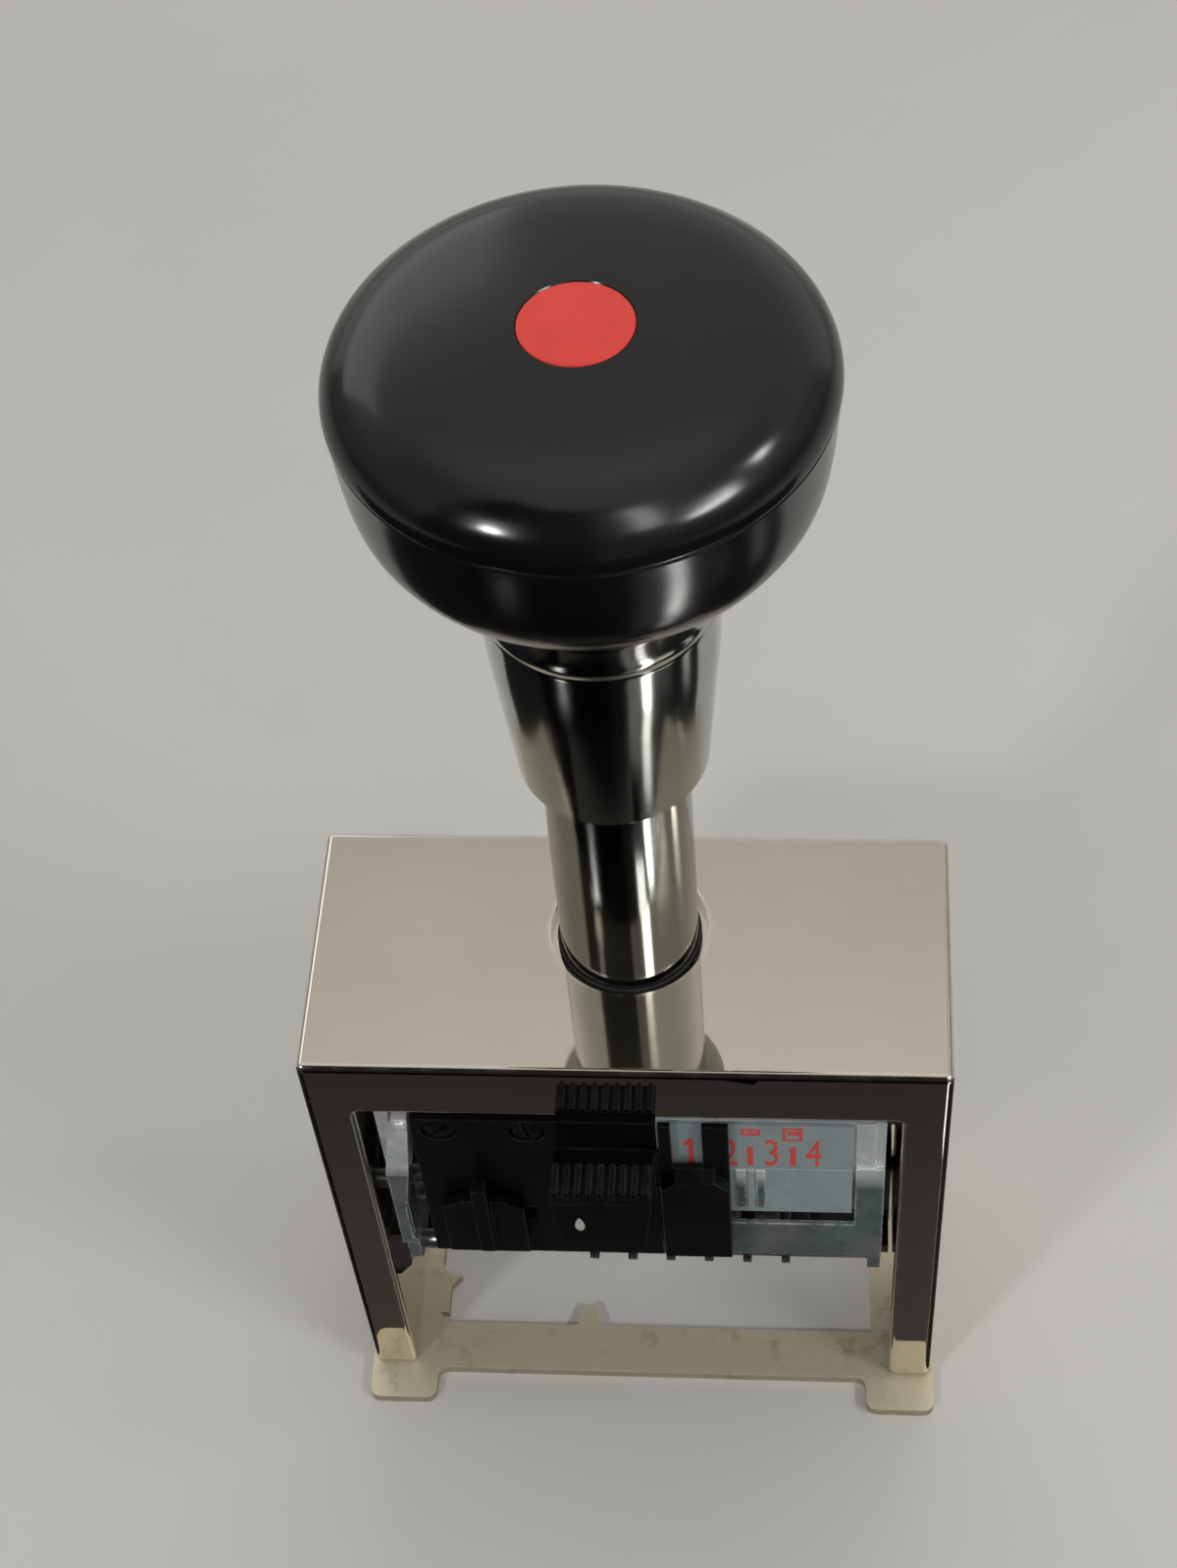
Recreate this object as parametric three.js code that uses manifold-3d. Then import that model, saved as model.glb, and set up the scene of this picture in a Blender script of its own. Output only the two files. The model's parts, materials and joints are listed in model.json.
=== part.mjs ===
// A self-inking numbering machine: a U frame on a base plate, and a head with
// six number wheels that a round palm knob presses down against a spring.
// Millimetres, X to the right, Y to the back, Z up, table at z = 0.

import * as THREE from "three";
import * as BufferGeometryUtils from "three/addons/utils/BufferGeometryUtils.js";
import Module from "manifold-3d";

const wasm = await Module();
wasm.setup();

// Fits
const TURN_FIT = 0.04;
const SLIDE_FIT = 0.06;
const CLEAR = 0.3;
const OVERRUN = 2;
const SIDES = 40;
const SMALL_SIDES = 16;

// Frame
const FRAME_WIDTH = 70;
const FRAME_DEPTH = 31.3;
const FRAME_TOP = 74.1;
const BAR = 9.3;
const LEG = 5.2;
const FRAME_ROUND = 0.7;
const GROOVE_DEPTH = 1.9;

// Base plate
const PLATE = 1.6;
const PLATE_SIDE = 0.5;
const PLATE_LIP = 0.5;
const FOOT_WIDTH = 8.4;
const FOOT_REACH = 4.2;
const CORNER = 1.4;
const WINDOW_INSET = 2.1;
const WINDOW_DEPTH = 19.8;
const POINTER_BASE = 3.4;
const POINTER_TIP = 1.1;
const POINTER_REACH = 3;
const HOOK_WIDTH = 1.3;
const HOOK_LENGTH = 6.6;
const HOOK_REACH = 2.6;
const BASE_SCREW_INSET = 2.5;
const BASE_SCREW_BACK = 10;
const BASE_SCREW_R = 1.2;
const BASE_SCREW_HEAD_R = 2.2;
const BASE_SCREW_HEAD = 1;
const BASE_SCREW_LENGTH = 7.5;

// Guide tube and what slides in it
const AXIS_Y = 3;
const TUBE_R = 7.6;
const TUBE_WALL = 1.2;
const TUBE_RISE = 43.9;
const FLANGE_R = 9.6;
const FLANGE = 1.8;
const RING_R = 8.65;
const RING_DEPTH = 1.5;
const ROD_R = 3;
const BUSH = 7;
const STOP_WASHER = 0.8;
const STOP_WASHER_R = 9;
const STOP_WASHER_BORE = 3.7;

// Return spring
const SPRING_R = 4.7;
const WIRE_R = 0.6;
const SPRING_TURNS = 20;
const END_PITCH = 1.75;
const SPRING_STEPS = 8;
const WIRE_SIDES = 5;

// Knob and collar
const COLLAR_LAP = 11.9;
const COLLAR_HEIGHT = 30.4;
const COLLAR_LOW_R = 9.75;
const COLLAR_HIGH_R = 11.5;
const COLLAR_RIM_R = 12.1;
const COLLAR_RIM = 5.1;
const COLLAR_ROUND = 1;
const KNOB_R = 22.4;
const KNOB_HEIGHT = 28.1;
const KNOB_ROOF = 23.6;
const KNOB_ROD_DEPTH = 16;
const DOT_R = 5.1;
const DOT = 0.8;
const SPRING_WASHER = 0.8;
const SPRING_WASHER_R = 6.6;

// Head
const PAPER = 0.1;
const TYPE_R = 10.5;
const SHAFT_DROP = 29.4;
const SHAFT_R = 2;
const HEAD_GAP = 1.5;
const SIDE_PLATE = 1.5;
const SIDE_BOTTOM_R = 8.5;
const SIDE_BACK = 13;
const SIDE_FRONT = 13.4;
const BRIDGE = 4.9;
const BRIDGE_FRONT = 9;
const FACE_Y = -14.6;
const FACE = 1.6;
const FLANGE_STRIP = 3.8;
const FLANGE_BEND = 2.6;
const FLANGE_WAIST = 1.4;
const FLANGE_FOOT = 2;
const FLANGE_FOOT_HEIGHT = 1.2;
const FLANGE_LEAN = 1.1;
const FLANGE_NARROW = 2.1;
const FLANGE_DROP = 29.9;
const FLANGE_STEP = 0.7;
const FLANGE_BEND_DROP = 12.9;
const FLANGE_SLANT_DROP = 5;
const FLANGE_WAIST_DROP = 22;
const SCREW_R = 1.2;
const SCREW_HEAD_R = 2;
const SCREW_HEAD = 0.9;
const SCREW_BITE = 5;
const PIN_R = 0.8;
const RIVET_R = 0.9;
const RIVET = 0.7;
const RIVET_DROP = 1.2;

// Number wheels
const WHEELS = 6;
const FIGURES = 10;
const WHEEL_PITCH = 4.6;
const TYPE_WIDTH = 3;
const RATCHET_WIDTH = 1.4;
const BANK_MID = 4.1;
const TYPE_ROOT_R = 9.3;
const TYPE_HEIGHT = 4.7;
const RATCHET_R = 8.3;
const RATCHET_ROOT_R = 6.9;
const SPACER_R = 3.5;
const PRINT_ANGLE = -90;

// Detents and the drive swing
const RING_BAR_R = 12.4;
const BAR_R = 1.2;
const HUB_R = 2;
const COMB_HUB_R = 1.75;
const FINGER = 1;
const FINGER_LEAN = 9;
const FINGER_TIP_TURN = 6;
const DETENT_ANGLE = 211;
const COMB_ANGLE = 95;
const COMB_SWING = 40;
const SWING_ARM = 1.2;
const SWING_PIN_R = 1.2;
const SWING_PIN_RING = 10;
const SWING_PIN_ANGLE = 150;
const ARM_HALF = 2.4;

// Ink pad carrier
const PAD_SWING = 95;
const PAD_ARM = 1;
const PAD_ARM_HALF = 3.5;
const CAM_PIN_R = 1.4;
const CAM_PIN_RING = 8;
const CAM_PIN_ANGLE = -75;
const GROOVE_FIT = 0.25;
const TRAY_BELOW = 16;
const TRAY_FLOOR = 1.7;
const TRAY_LIP = 0.8;
const TRAY_WALL = 4.4;
const PAD_DEPTH = 10.8;
const PAD_MARGIN = 2.4;

// Selector, its scale and the repeat drum
const SCALE_STEP = 4.6;
const SCALE_STEPS = 3;
const SCALE_MARGIN = 3.6;
const SCALE_DROP = 19.5;
const SCALE_PLATE = 0.6;
const BRACKET_DROP = 30.2;
const SLOT_DROP = 22.5;
const SLOT_HEIGHT = 2.9;
const SLIDE_MARGIN = 3.5;
const SLIDE_POST_WIDTH = 7.7;
const SLIDE_WING = 11.6;
const SLIDE_DROP = 26.7;
const SLIDE_RISE = 1.1;
const SLIDE_FACE = 0.7;
const SLIDE_BLOCK = 2;
const WING_DROP = 4.9;
const SLIDE_WINDOW_INSET = 1.35;
const SLIDE_WINDOW_WIDTH = 3.45;
const WINDOW_DROP = 8;
const SLIDE_SHOULDER = 1.6;
const THUMB_FRONT = 23.25;
const THUMB_DROP = 1.1;
const THUMB_HEIGHT = 11.4;
const THUMB_BACK = 18.95;
const THUMB_CHAMFER = 1.1;
const THUMB_DRAFT = 0.9;
const RIB_COUNT = 9;
const RIB_PITCH = 1.24;
const RIB_WIDTH = 0.6;
const RIB_HEIGHT = 0.55;
const RIB_LENGTH = 3.7;
const SHOE_DEPTH = 3.2;
const SHOE_DROP = 15.9;
const RAIL_R = 1.2;
const RAIL_Y = -11.1;
const RAIL_DROP = 18.6;
const DRUM_Y = -2;
const DRUM_DROP = 9.7;
const DRUM_R = 4.2;
const DRUM_CORE_R = 3;
const DRUM_TOOTH = 0.8;
const DRUM_TEETH = 12;
const TRACK = 2.4;
const DRUM_RATCHET_GAP = 8.8;

// Small thumb slide on the front cover
const COVER_GAP = 0.3;
const COVER_DROP = 30.7;
const COVER_SEAM = 0.2;
const COVER_SCREW_INSET = 3;
const COVER_SCREW_APART = 9.9;
const ZERO_INSET = 2.1;
const ZERO_WIDTH = 9.4;
const ZERO_HEIGHT = 11.8;
const ZERO_DROP = 15.9;
const ZERO_SHOULDER = 2.2;
const ZERO_SHOULDER_DROP = 1.5;
const ZERO_PLATE = 1.4;
const ZERO_RIDGE = 1.2;
const ZERO_RIDGE_WIDTH = 1.8;
const ZERO_RIDGE_RISE = 4.6;
const ZERO_TRAVEL = 4;
const ZERO_TONGUE = 3;

// Sizes that follow
const LEG_INNER = FRAME_WIDTH / 2 - LEG;
const BAR_BOTTOM = FRAME_TOP - BAR;
const FLANGE_BOTTOM_Z = BAR_BOTTOM - FLANGE;
const STOP_Z = FLANGE_BOTTOM_Z - STOP_WASHER;
const BRIDGE_TOP = STOP_Z - CLEAR;
const BRIDGE_BOTTOM = BRIDGE_TOP - BRIDGE;
const SHAFT_Z = BRIDGE_TOP - SHAFT_DROP;
const STROKE = SHAFT_Z - TYPE_R - PAPER;
const SIDE_OUTER = LEG_INNER - HEAD_GAP;
const SIDE_INNER = SIDE_OUTER - SIDE_PLATE;
const WHEEL_WIDTH = TYPE_WIDTH + RATCHET_WIDTH;
const BANK_WIDTH = (WHEELS - 1) * WHEEL_PITCH + WHEEL_WIDTH;
const BANK_LEFT = BANK_MID - BANK_WIDTH / 2;
const BANK_RIGHT = BANK_LEFT + BANK_WIDTH;
const FIRST_TYPE_X = BANK_LEFT + TYPE_WIDTH / 2;
const TUBE_TOP = FRAME_TOP + TUBE_RISE;
const COLLAR_BOTTOM = TUBE_TOP - COLLAR_LAP;
const COLLAR_TOP = COLLAR_BOTTOM + COLLAR_HEIGHT;
const KNOB_BOTTOM = COLLAR_TOP;
const KNOB_TOP = COLLAR_TOP + KNOB_HEIGHT;
const CEILING = KNOB_TOP - KNOB_ROOF;
const BUSH_TOP = FLANGE_BOTTOM_Z + BUSH;
const PAD_ARM_INNER = (SIDE_OUTER + LEG_INNER - PAD_ARM) / 2;
const PAD_ARM_OUTER = PAD_ARM_INNER + PAD_ARM;
const GROOVE_FLOOR = LEG_INNER + GROOVE_DEPTH;
const PIN_END = GROOVE_FLOOR - CLEAR;
const SWING_LEFT = -SIDE_INNER + CLEAR;
const SWING_RIGHT = BANK_RIGHT + CLEAR;
const SLIDE_BACK_Y = FACE_Y - CLEAR;
const FACE_BACK_Y = FACE_Y + FACE;
const BRIDGE_MID = (BRIDGE_TOP + BRIDGE_BOTTOM) / 2;
const FLANGE_BOTTOM = BRIDGE_TOP - FLANGE_DROP;
const SCALE_BOTTOM = BRIDGE_TOP - SCALE_DROP;
const BRACKET_BOTTOM = BRIDGE_TOP - BRACKET_DROP;
const SLOT_BOTTOM = BRIDGE_TOP - SLOT_DROP;
const COVER_BOTTOM = BRIDGE_TOP - COVER_DROP;
const SLIDE_BOTTOM = BRIDGE_TOP - SLIDE_DROP;
const SLIDE_WING_TOP = BRIDGE_TOP - WING_DROP;
const SLIDE_WINDOW_BOTTOM = BRIDGE_TOP - WINDOW_DROP;
const THUMB_TOP = BRIDGE_TOP - THUMB_DROP;
const SHOE_TOP = BRIDGE_TOP - SHOE_DROP;
const RAIL_Z = BRIDGE_TOP - RAIL_DROP;
const DRUM_Z = BRIDGE_TOP - DRUM_DROP;
const ZERO_TOP = BRIDGE_TOP - ZERO_DROP;
const SLIDE_TOP = BRIDGE_TOP + SLIDE_RISE;
const THUMB_BOTTOM = THUMB_TOP - THUMB_HEIGHT;
const ZERO_BOTTOM = ZERO_TOP - ZERO_HEIGHT;
const SLOT_TOP = SLOT_BOTTOM + SLOT_HEIGHT;
const SLIDE_RIGHT = SIDE_OUTER - SLIDE_MARGIN - SCALE_STEPS * SCALE_STEP;
const SLIDE_POST = SLIDE_RIGHT - SLIDE_POST_WIDTH;
const SLIDE_LEFT = SLIDE_POST - SLIDE_WING;
const SLIDE_WINDOW_LEFT = SLIDE_POST + SLIDE_WINDOW_INSET;
const SLIDE_WINDOW_RIGHT = SLIDE_WINDOW_LEFT + SLIDE_WINDOW_WIDTH;
const SCALE_LEFT = SLIDE_POST - CLEAR;
const SCALE_RIGHT = SIDE_OUTER - SCALE_MARGIN;
const COVER_LEFT = FLANGE_STRIP + COVER_GAP - SIDE_OUTER;
const COVER_RIGHT = SCALE_LEFT - COVER_SEAM;
const ZERO_LEFT = COVER_LEFT + ZERO_INSET;
const ZERO_RIGHT = ZERO_LEFT + ZERO_WIDTH;

const SWEEP_STEPS = 12;
const SWEEP_TURN = 10;
const SCREW_SPOTS_SHARES = [[-0.1, 0.5], [0.7, 0.5]];

// Materials
function paint(color, roughness, metalness) {
  return new THREE.MeshStandardMaterial({ color, roughness, metalness });
}
const NICKEL = paint(0xb9b2a6, 0.16, 1);
const CHROME = paint(0xd0d0d2, 0.1, 1);
const CREAM_NICKEL = paint(0xb8b092, 0.4, 1);
const STEEL = paint(0x8f9294, 0.35, 1);
const ZINC = paint(0x9aa6ad, 0.42, 1);
const SCALE_GREY = paint(0x8799a2, 0.5, 0.8);
const BRASS = paint(0xb08d4a, 0.35, 1);
const GLOSS_BLACK = paint(0x0b0b0c, 0.12, 0);
const SATIN_BLACK = paint(0x111113, 0.45, 0);
const RED = paint(0xd2362c, 0.4, 0);
const FELT = paint(0x2a1418, 0.95, 0);
const RUBBER = paint(0x1c1c1c, 0.8, 0);
const SPRING_STEEL = paint(0x7d8083, 0.3, 1);

// Solids
function radians(degrees) {
  return THREE.MathUtils.degToRad(degrees);
}

function toSolid(geometry) {
  const bare = geometry.clone();
  bare.deleteAttribute("normal");
  bare.deleteAttribute("uv");
  const merged = BufferGeometryUtils.mergeVertices(bare, CLEAR / 3000);
  const mesh = new wasm.Mesh({
    numProp: 3,
    vertProperties: new Float32Array(merged.attributes.position.array),
    triVerts: new Uint32Array(merged.index.array),
  });
  return new wasm.Manifold(mesh);
}

function toGeometry(solid) {
  const mesh = solid.getMesh();
  const geometry = new THREE.BufferGeometry();
  geometry.setAttribute("position", new THREE.BufferAttribute(mesh.vertProperties, 3));
  geometry.setIndex(new THREE.BufferAttribute(mesh.triVerts, 1));
  const flat = geometry.toNonIndexed();
  flat.computeVertexNormals();
  return flat;
}

function join(...geometries) {
  return toGeometry(geometries.map(toSolid).reduce((a, b) => a.add(b)));
}

function cut(geometry, ...tools) {
  return toGeometry(tools.map(toSolid).reduce((a, b) => a.subtract(b), toSolid(geometry)));
}

// A box from its low corner to its high corner
function box(x0, x1, y0, y1, z0, z1) {
  const geometry = new THREE.BoxGeometry(x1 - x0, y1 - y0, z1 - z0);
  return geometry.translate((x0 + x1) / 2, (y0 + y1) / 2, (z0 + z1) / 2);
}

// Points of a circle in a shape's plane
function round(u, v, radius, sides = SIDES) {
  return Array.from({ length: sides }, (_, i) => {
    const turn = (2 * Math.PI * i) / sides;
    return new THREE.Vector2(u + radius * Math.cos(turn), v + radius * Math.sin(turn));
  });
}

function outline(points, holes = []) {
  const shape = new THREE.Shape(points.map((p) => new THREE.Vector2(p.x ?? p[0], p.y ?? p[1])));
  shape.holes = holes.map((hole) => new THREE.Path(hole));
  return shape;
}

function extrude(shape, depth) {
  return new THREE.ExtrudeGeometry(shape, { depth, bevelEnabled: false });
}

const TO_X = new THREE.Matrix4().set(0, 0, 1, 0, 1, 0, 0, 0, 0, 1, 0, 0, 0, 0, 0, 1);
const TO_Y = new THREE.Matrix4().set(1, 0, 0, 0, 0, 0, -1, 0, 0, 1, 0, 0, 0, 0, 0, 1);

// A shape drawn in Y and Z, run from x0 to x1
function alongX(shape, x0, x1) {
  return extrude(shape, x1 - x0).applyMatrix4(TO_X).translate(x0, 0, 0);
}

// A shape drawn in X and Z, run from y0 to y1
function alongY(shape, y0, y1) {
  return extrude(shape, y1 - y0).applyMatrix4(TO_Y).translate(0, y1, 0);
}

function alongZ(shape, z0, z1) {
  return extrude(shape, z1 - z0).translate(0, 0, z0);
}

function rodX(x0, x1, y, z, radius, bore = 0, sides = SMALL_SIDES) {
  const holes = bore > 0 ? [round(y, z, bore, sides)] : [];
  return alongX(outline(round(y, z, radius, sides), holes), x0, x1);
}

function rodY(y0, y1, x, z, radius) {
  return alongY(outline(round(x, z, radius, SMALL_SIDES)), y0, y1);
}

function rodZ(z0, z1, x, y, radius, bore = 0, sides = SIDES) {
  const holes = bore > 0 ? [round(x, y, bore, sides)] : [];
  return alongZ(outline(round(x, y, radius, sides), holes), z0, z1);
}

// A profile of [radius, z] pairs turned about the handle's axis
function turned(profile, x = 0, y = AXIS_Y) {
  const points = profile.map(([r, z]) => new THREE.Vector2(r, z));
  const geometry = new THREE.LatheGeometry(points, SIDES).rotateX(Math.PI / 2);
  const solid = geometry.translate(x, y, 0);
  return signedVolume(solid) < 0 ? flipped(solid) : solid;
}

function signedVolume(geometry) {
  const flat = (geometry.index ? geometry.toNonIndexed() : geometry).attributes.position;
  const [a, b, c] = [new THREE.Vector3(), new THREE.Vector3(), new THREE.Vector3()];
  let sum = 0;
  for (let i = 0; i < flat.count; i += 3) {
    a.fromBufferAttribute(flat, i);
    b.fromBufferAttribute(flat, i + 1);
    c.fromBufferAttribute(flat, i + 2);
    sum += a.dot(b.cross(c));
  }
  return sum / 6;
}

function flipped(geometry) {
  const index = geometry.index.array;
  for (let i = 0; i < index.length; i += 3) {
    [index[i], index[i + 1]] = [index[i + 1], index[i]];
  }
  return geometry;
}

// A place on a ring round the wheel shaft, 0 degrees to the back, 90 up
function onRing(radius, degrees, drop = 0) {
  const turn = radians(degrees);
  return new THREE.Vector2(radius * Math.cos(turn), SHAFT_Z - drop + radius * Math.sin(turn));
}

// The outline of a slot of one half width along a row of points
function slotAlong(path, half, caps = 6) {
  const normals = path.map((_, i) => {
    const from = path[Math.max(i - 1, 0)];
    const to = path[Math.min(i + 1, path.length - 1)];
    const run = to.clone().sub(from).normalize();
    return new THREE.Vector2(-run.y, run.x);
  });
  const side = (sign) => path.map((p, i) => p.clone().addScaledVector(normals[i], sign * half));
  const cap = (centre, from) => {
    const start = Math.atan2(from.y, from.x);
    return Array.from({ length: caps - 1 }, (_, i) => {
      const turn = start - (Math.PI * (i + 1)) / caps;
      return new THREE.Vector2(centre.x + half * Math.cos(turn), centre.y + half * Math.sin(turn));
    });
  };
  const end = normals.length - 1;
  return [
    ...side(1),
    ...cap(path[end], normals[end]),
    ...side(-1).reverse(),
    ...cap(path[0], normals[0].clone().negate()),
  ];
}

// The way that a pin on a swinging arm takes past the frame while the head goes down
function pinPath(ring, start, swing, steps = 12) {
  return Array.from({ length: steps + 1 }, (_, i) => {
    const part = i / steps;
    return onRing(ring, start + swing * part, STROKE * part);
  });
}

// The way that it takes past the head
function pinArc(ring, start, swing, steps = 8) {
  return Array.from({ length: steps + 1 }, (_, i) => onRing(ring, start + (swing * i) / steps));
}

// Frame and base
function baseScrewSpots() {
  const x = FRAME_WIDTH / 2 - BASE_SCREW_INSET;
  return [[-x, -BASE_SCREW_BACK], [x, -BASE_SCREW_BACK], [-x, BASE_SCREW_BACK], [x, BASE_SCREW_BACK]];
}

function frame() {
  const half = FRAME_WIDTH / 2;
  const r = FRAME_ROUND;
  const shape = new THREE.Shape();
  shape.moveTo(-half, PLATE);
  shape.lineTo(-LEG_INNER, PLATE);
  shape.lineTo(-LEG_INNER, BAR_BOTTOM);
  shape.lineTo(LEG_INNER, BAR_BOTTOM);
  shape.lineTo(LEG_INNER, PLATE);
  shape.lineTo(half, PLATE);
  shape.lineTo(half, FRAME_TOP - r);
  shape.absarc(half - r, FRAME_TOP - r, r, 0, Math.PI / 2, false);
  shape.absarc(-half + r, FRAME_TOP - r, r, Math.PI / 2, Math.PI, false);
  const bevel = r / 2;
  const body = new THREE.ExtrudeGeometry(shape, {
    depth: FRAME_DEPTH - 2 * bevel,
    curveSegments: 4,
    bevelSize: bevel,
    bevelThickness: bevel,
    bevelOffset: -bevel,
    bevelSegments: 2,
  }).applyMatrix4(TO_Y).translate(0, FRAME_DEPTH / 2 - bevel, 0);
  const bore = rodZ(BAR_BOTTOM - OVERRUN, FRAME_TOP + OVERRUN, 0, AXIS_Y, TUBE_R + TURN_FIT);
  const ring = rodZ(FRAME_TOP - RING_DEPTH, FRAME_TOP + OVERRUN, 0, AXIS_Y, RING_R);
  const pad = slotAlong(pinPath(CAM_PIN_RING, CAM_PIN_ANGLE, PAD_SWING), CAM_PIN_R + GROOVE_FIT);
  const comb = slotAlong(
    pinPath(SWING_PIN_RING, SWING_PIN_ANGLE, -COMB_SWING), SWING_PIN_R + GROOVE_FIT);
  const grooves = [
    alongX(outline(pad), LEG_INNER - OVERRUN, GROOVE_FLOOR),
    alongX(outline(pad), -GROOVE_FLOOR, OVERRUN - LEG_INNER),
    alongX(outline(comb), -GROOVE_FLOOR, OVERRUN - LEG_INNER),
  ];
  const screwTop = BASE_SCREW_LENGTH + CLEAR;
  const holes = baseScrewSpots().map(([x, y]) =>
    rodZ(PLATE - OVERRUN, screwTop, x, y, BASE_SCREW_R + TURN_FIT, 0, SMALL_SIDES));
  return cut(body, bore, ring, ...grooves, ...holes);
}

function corner(shape, x, y, fromX, fromY, toX, toY) {
  shape.lineTo(x + fromX, y + fromY);
  shape.quadraticCurveTo(x, y, x + toX, y + toY);
}

function basePlate() {
  const half = FRAME_WIDTH / 2 + PLATE_SIDE;
  const edge = FRAME_DEPTH / 2 + PLATE_LIP;
  const toe = edge + FOOT_REACH;
  const heel = half - FOOT_WIDTH;
  const c = CORNER;
  const shape = new THREE.Shape();
  shape.moveTo(-half, 0);
  for (const [sx, sy] of [[-1, -1], [1, -1], [1, 1], [-1, 1]]) {
    const outward = [
      [sx * half, sy * toe, 0, -sy * c, -sx * c, 0],
      [sx * heel, sy * toe, sx * c, 0, 0, -sy * c],
      [sx * heel, sy * edge, 0, sy * c, -sx * c, 0],
    ];
    const runs = sx === sy ? outward : outward.reverse().map(([x, y, a, b, d, e]) => [x, y, d, e, a, b]);
    for (const run of runs) corner(shape, ...run);
  }
  const w = LEG_INNER - WINDOW_INSET;
  const d = WINDOW_DEPTH / 2;
  const tip = POINTER_REACH - d;
  const hookEnd = HOOK_LENGTH - d;
  const window = [
    [-w, -d + c], [-w + HOOK_WIDTH, -d + c], [-w + HOOK_WIDTH, hookEnd - c],
    [-w + HOOK_REACH, hookEnd], [-w + HOOK_WIDTH, hookEnd], [-w, hookEnd + c],
    [-w, d], [w, d], [w, -d],
    [FIRST_TYPE_X + POINTER_BASE / 2, -d], [FIRST_TYPE_X + POINTER_TIP / 2, tip],
    [FIRST_TYPE_X - POINTER_TIP / 2, tip], [FIRST_TYPE_X - POINTER_BASE / 2, -d],
    [-w + HOOK_WIDTH, -d],
  ].map(([x, y]) => new THREE.Vector2(x, y));
  shape.holes.push(new THREE.Path(window));
  const plate = new THREE.ExtrudeGeometry(shape, { depth: PLATE, bevelEnabled: false, curveSegments: 4 });
  const holes = baseScrewSpots().flatMap(([x, y]) => [
    rodZ(-OVERRUN, PLATE + OVERRUN, x, y, BASE_SCREW_R + TURN_FIT, 0, SMALL_SIDES),
    rodZ(-OVERRUN, BASE_SCREW_HEAD, x, y, BASE_SCREW_HEAD_R + TURN_FIT, 0, SMALL_SIDES),
  ]);
  return cut(plate, ...holes);
}

function baseScrew([x, y]) {
  return join(
    rodZ(CLEAR, BASE_SCREW_HEAD, x, y, BASE_SCREW_HEAD_R, 0, SMALL_SIDES),
    rodZ(BASE_SCREW_HEAD, BASE_SCREW_LENGTH, x, y, BASE_SCREW_R, 0, SMALL_SIDES),
  );
}

function guideTube() {
  const bore = TUBE_R - TUBE_WALL;
  return turned([
    [bore, FLANGE_BOTTOM_Z], [FLANGE_R, FLANGE_BOTTOM_Z], [FLANGE_R, BAR_BOTTOM],
    [TUBE_R, BAR_BOTTOM], [TUBE_R, TUBE_TOP], [bore, TUBE_TOP], [bore, FLANGE_BOTTOM_Z],
  ]);
}

function guideBush() {
  const outer = TUBE_R - TUBE_WALL - TURN_FIT;
  return rodZ(FLANGE_BOTTOM_Z, BUSH_TOP, 0, AXIS_Y, outer, ROD_R + SLIDE_FIT);
}

function stopWasher() {
  return rodZ(STOP_Z, FLANGE_BOTTOM_Z, 0, AXIS_Y, STOP_WASHER_R, STOP_WASHER_BORE);
}

// Knob, collar, rod and return spring
function knob() {
  const bore = TUBE_R + SLIDE_FIT + CLEAR;
  const rodHole = ROD_R + TURN_FIT;
  const sideShares = [
    [0.545, 0.02], [0.614, 0.075], [0.705, 0.164], [0.801, 0.249], [0.891, 0.338], [0.953, 0.441],
    [0.975, 0.559], [1, 0.762], [0.978, 0.836], [0.928, 0.886], [0.87, 0.925], [0.8, 0.956],
    [0.7, 0.978], [0.5, 0.992],
  ];
  const side = sideShares.map(([r, h]) => [KNOB_R * r, KNOB_BOTTOM + KNOB_HEIGHT * h]);
  return turned([
    [0, CEILING + KNOB_ROD_DEPTH], [rodHole, CEILING + KNOB_ROD_DEPTH], [rodHole, CEILING],
    [bore, CEILING], [bore, KNOB_BOTTOM], [KNOB_R * sideShares[0][0], KNOB_BOTTOM],
    ...side, [DOT_R + TURN_FIT, KNOB_TOP], [DOT_R + TURN_FIT, KNOB_TOP - DOT], [0, KNOB_TOP - DOT],
  ]);
}

function knobDot() {
  return rodZ(KNOB_TOP - DOT, KNOB_TOP, 0, AXIS_Y, DOT_R);
}

function collar() {
  const bore = TUBE_R + SLIDE_FIT;
  const r = COLLAR_ROUND;
  const rim = COLLAR_TOP - COLLAR_RIM;
  return turned([
    [bore, COLLAR_BOTTOM], [COLLAR_LOW_R - r, COLLAR_BOTTOM],
    [COLLAR_LOW_R - 0.3 * r, COLLAR_BOTTOM + 0.3 * r], [COLLAR_LOW_R, COLLAR_BOTTOM + r],
    [COLLAR_HIGH_R, rim], [COLLAR_RIM_R, COLLAR_TOP - 0.3 * r],
    [COLLAR_RIM_R - 0.3 * r, COLLAR_TOP], [bore, COLLAR_TOP], [bore, COLLAR_BOTTOM],
  ]);
}

function plungerRod() {
  const rod = rodZ(BRIDGE_BOTTOM + CLEAR, CEILING + KNOB_ROD_DEPTH - CLEAR, 0, AXIS_Y, ROD_R);
  return cut(rod, rodY(AXIS_Y - ROD_R - OVERRUN, AXIS_Y + ROD_R + OVERRUN, 0, BRIDGE_MID, PIN_R + TURN_FIT));
}

function rodPin() {
  return rodY(-BRIDGE_FRONT + CLEAR, SIDE_BACK - CLEAR, 0, BRIDGE_MID, PIN_R);
}

function springWasher() {
  return rodZ(CEILING - SPRING_WASHER, CEILING, 0, AXIS_Y, SPRING_WASHER_R, ROD_R + TURN_FIT);
}

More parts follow.
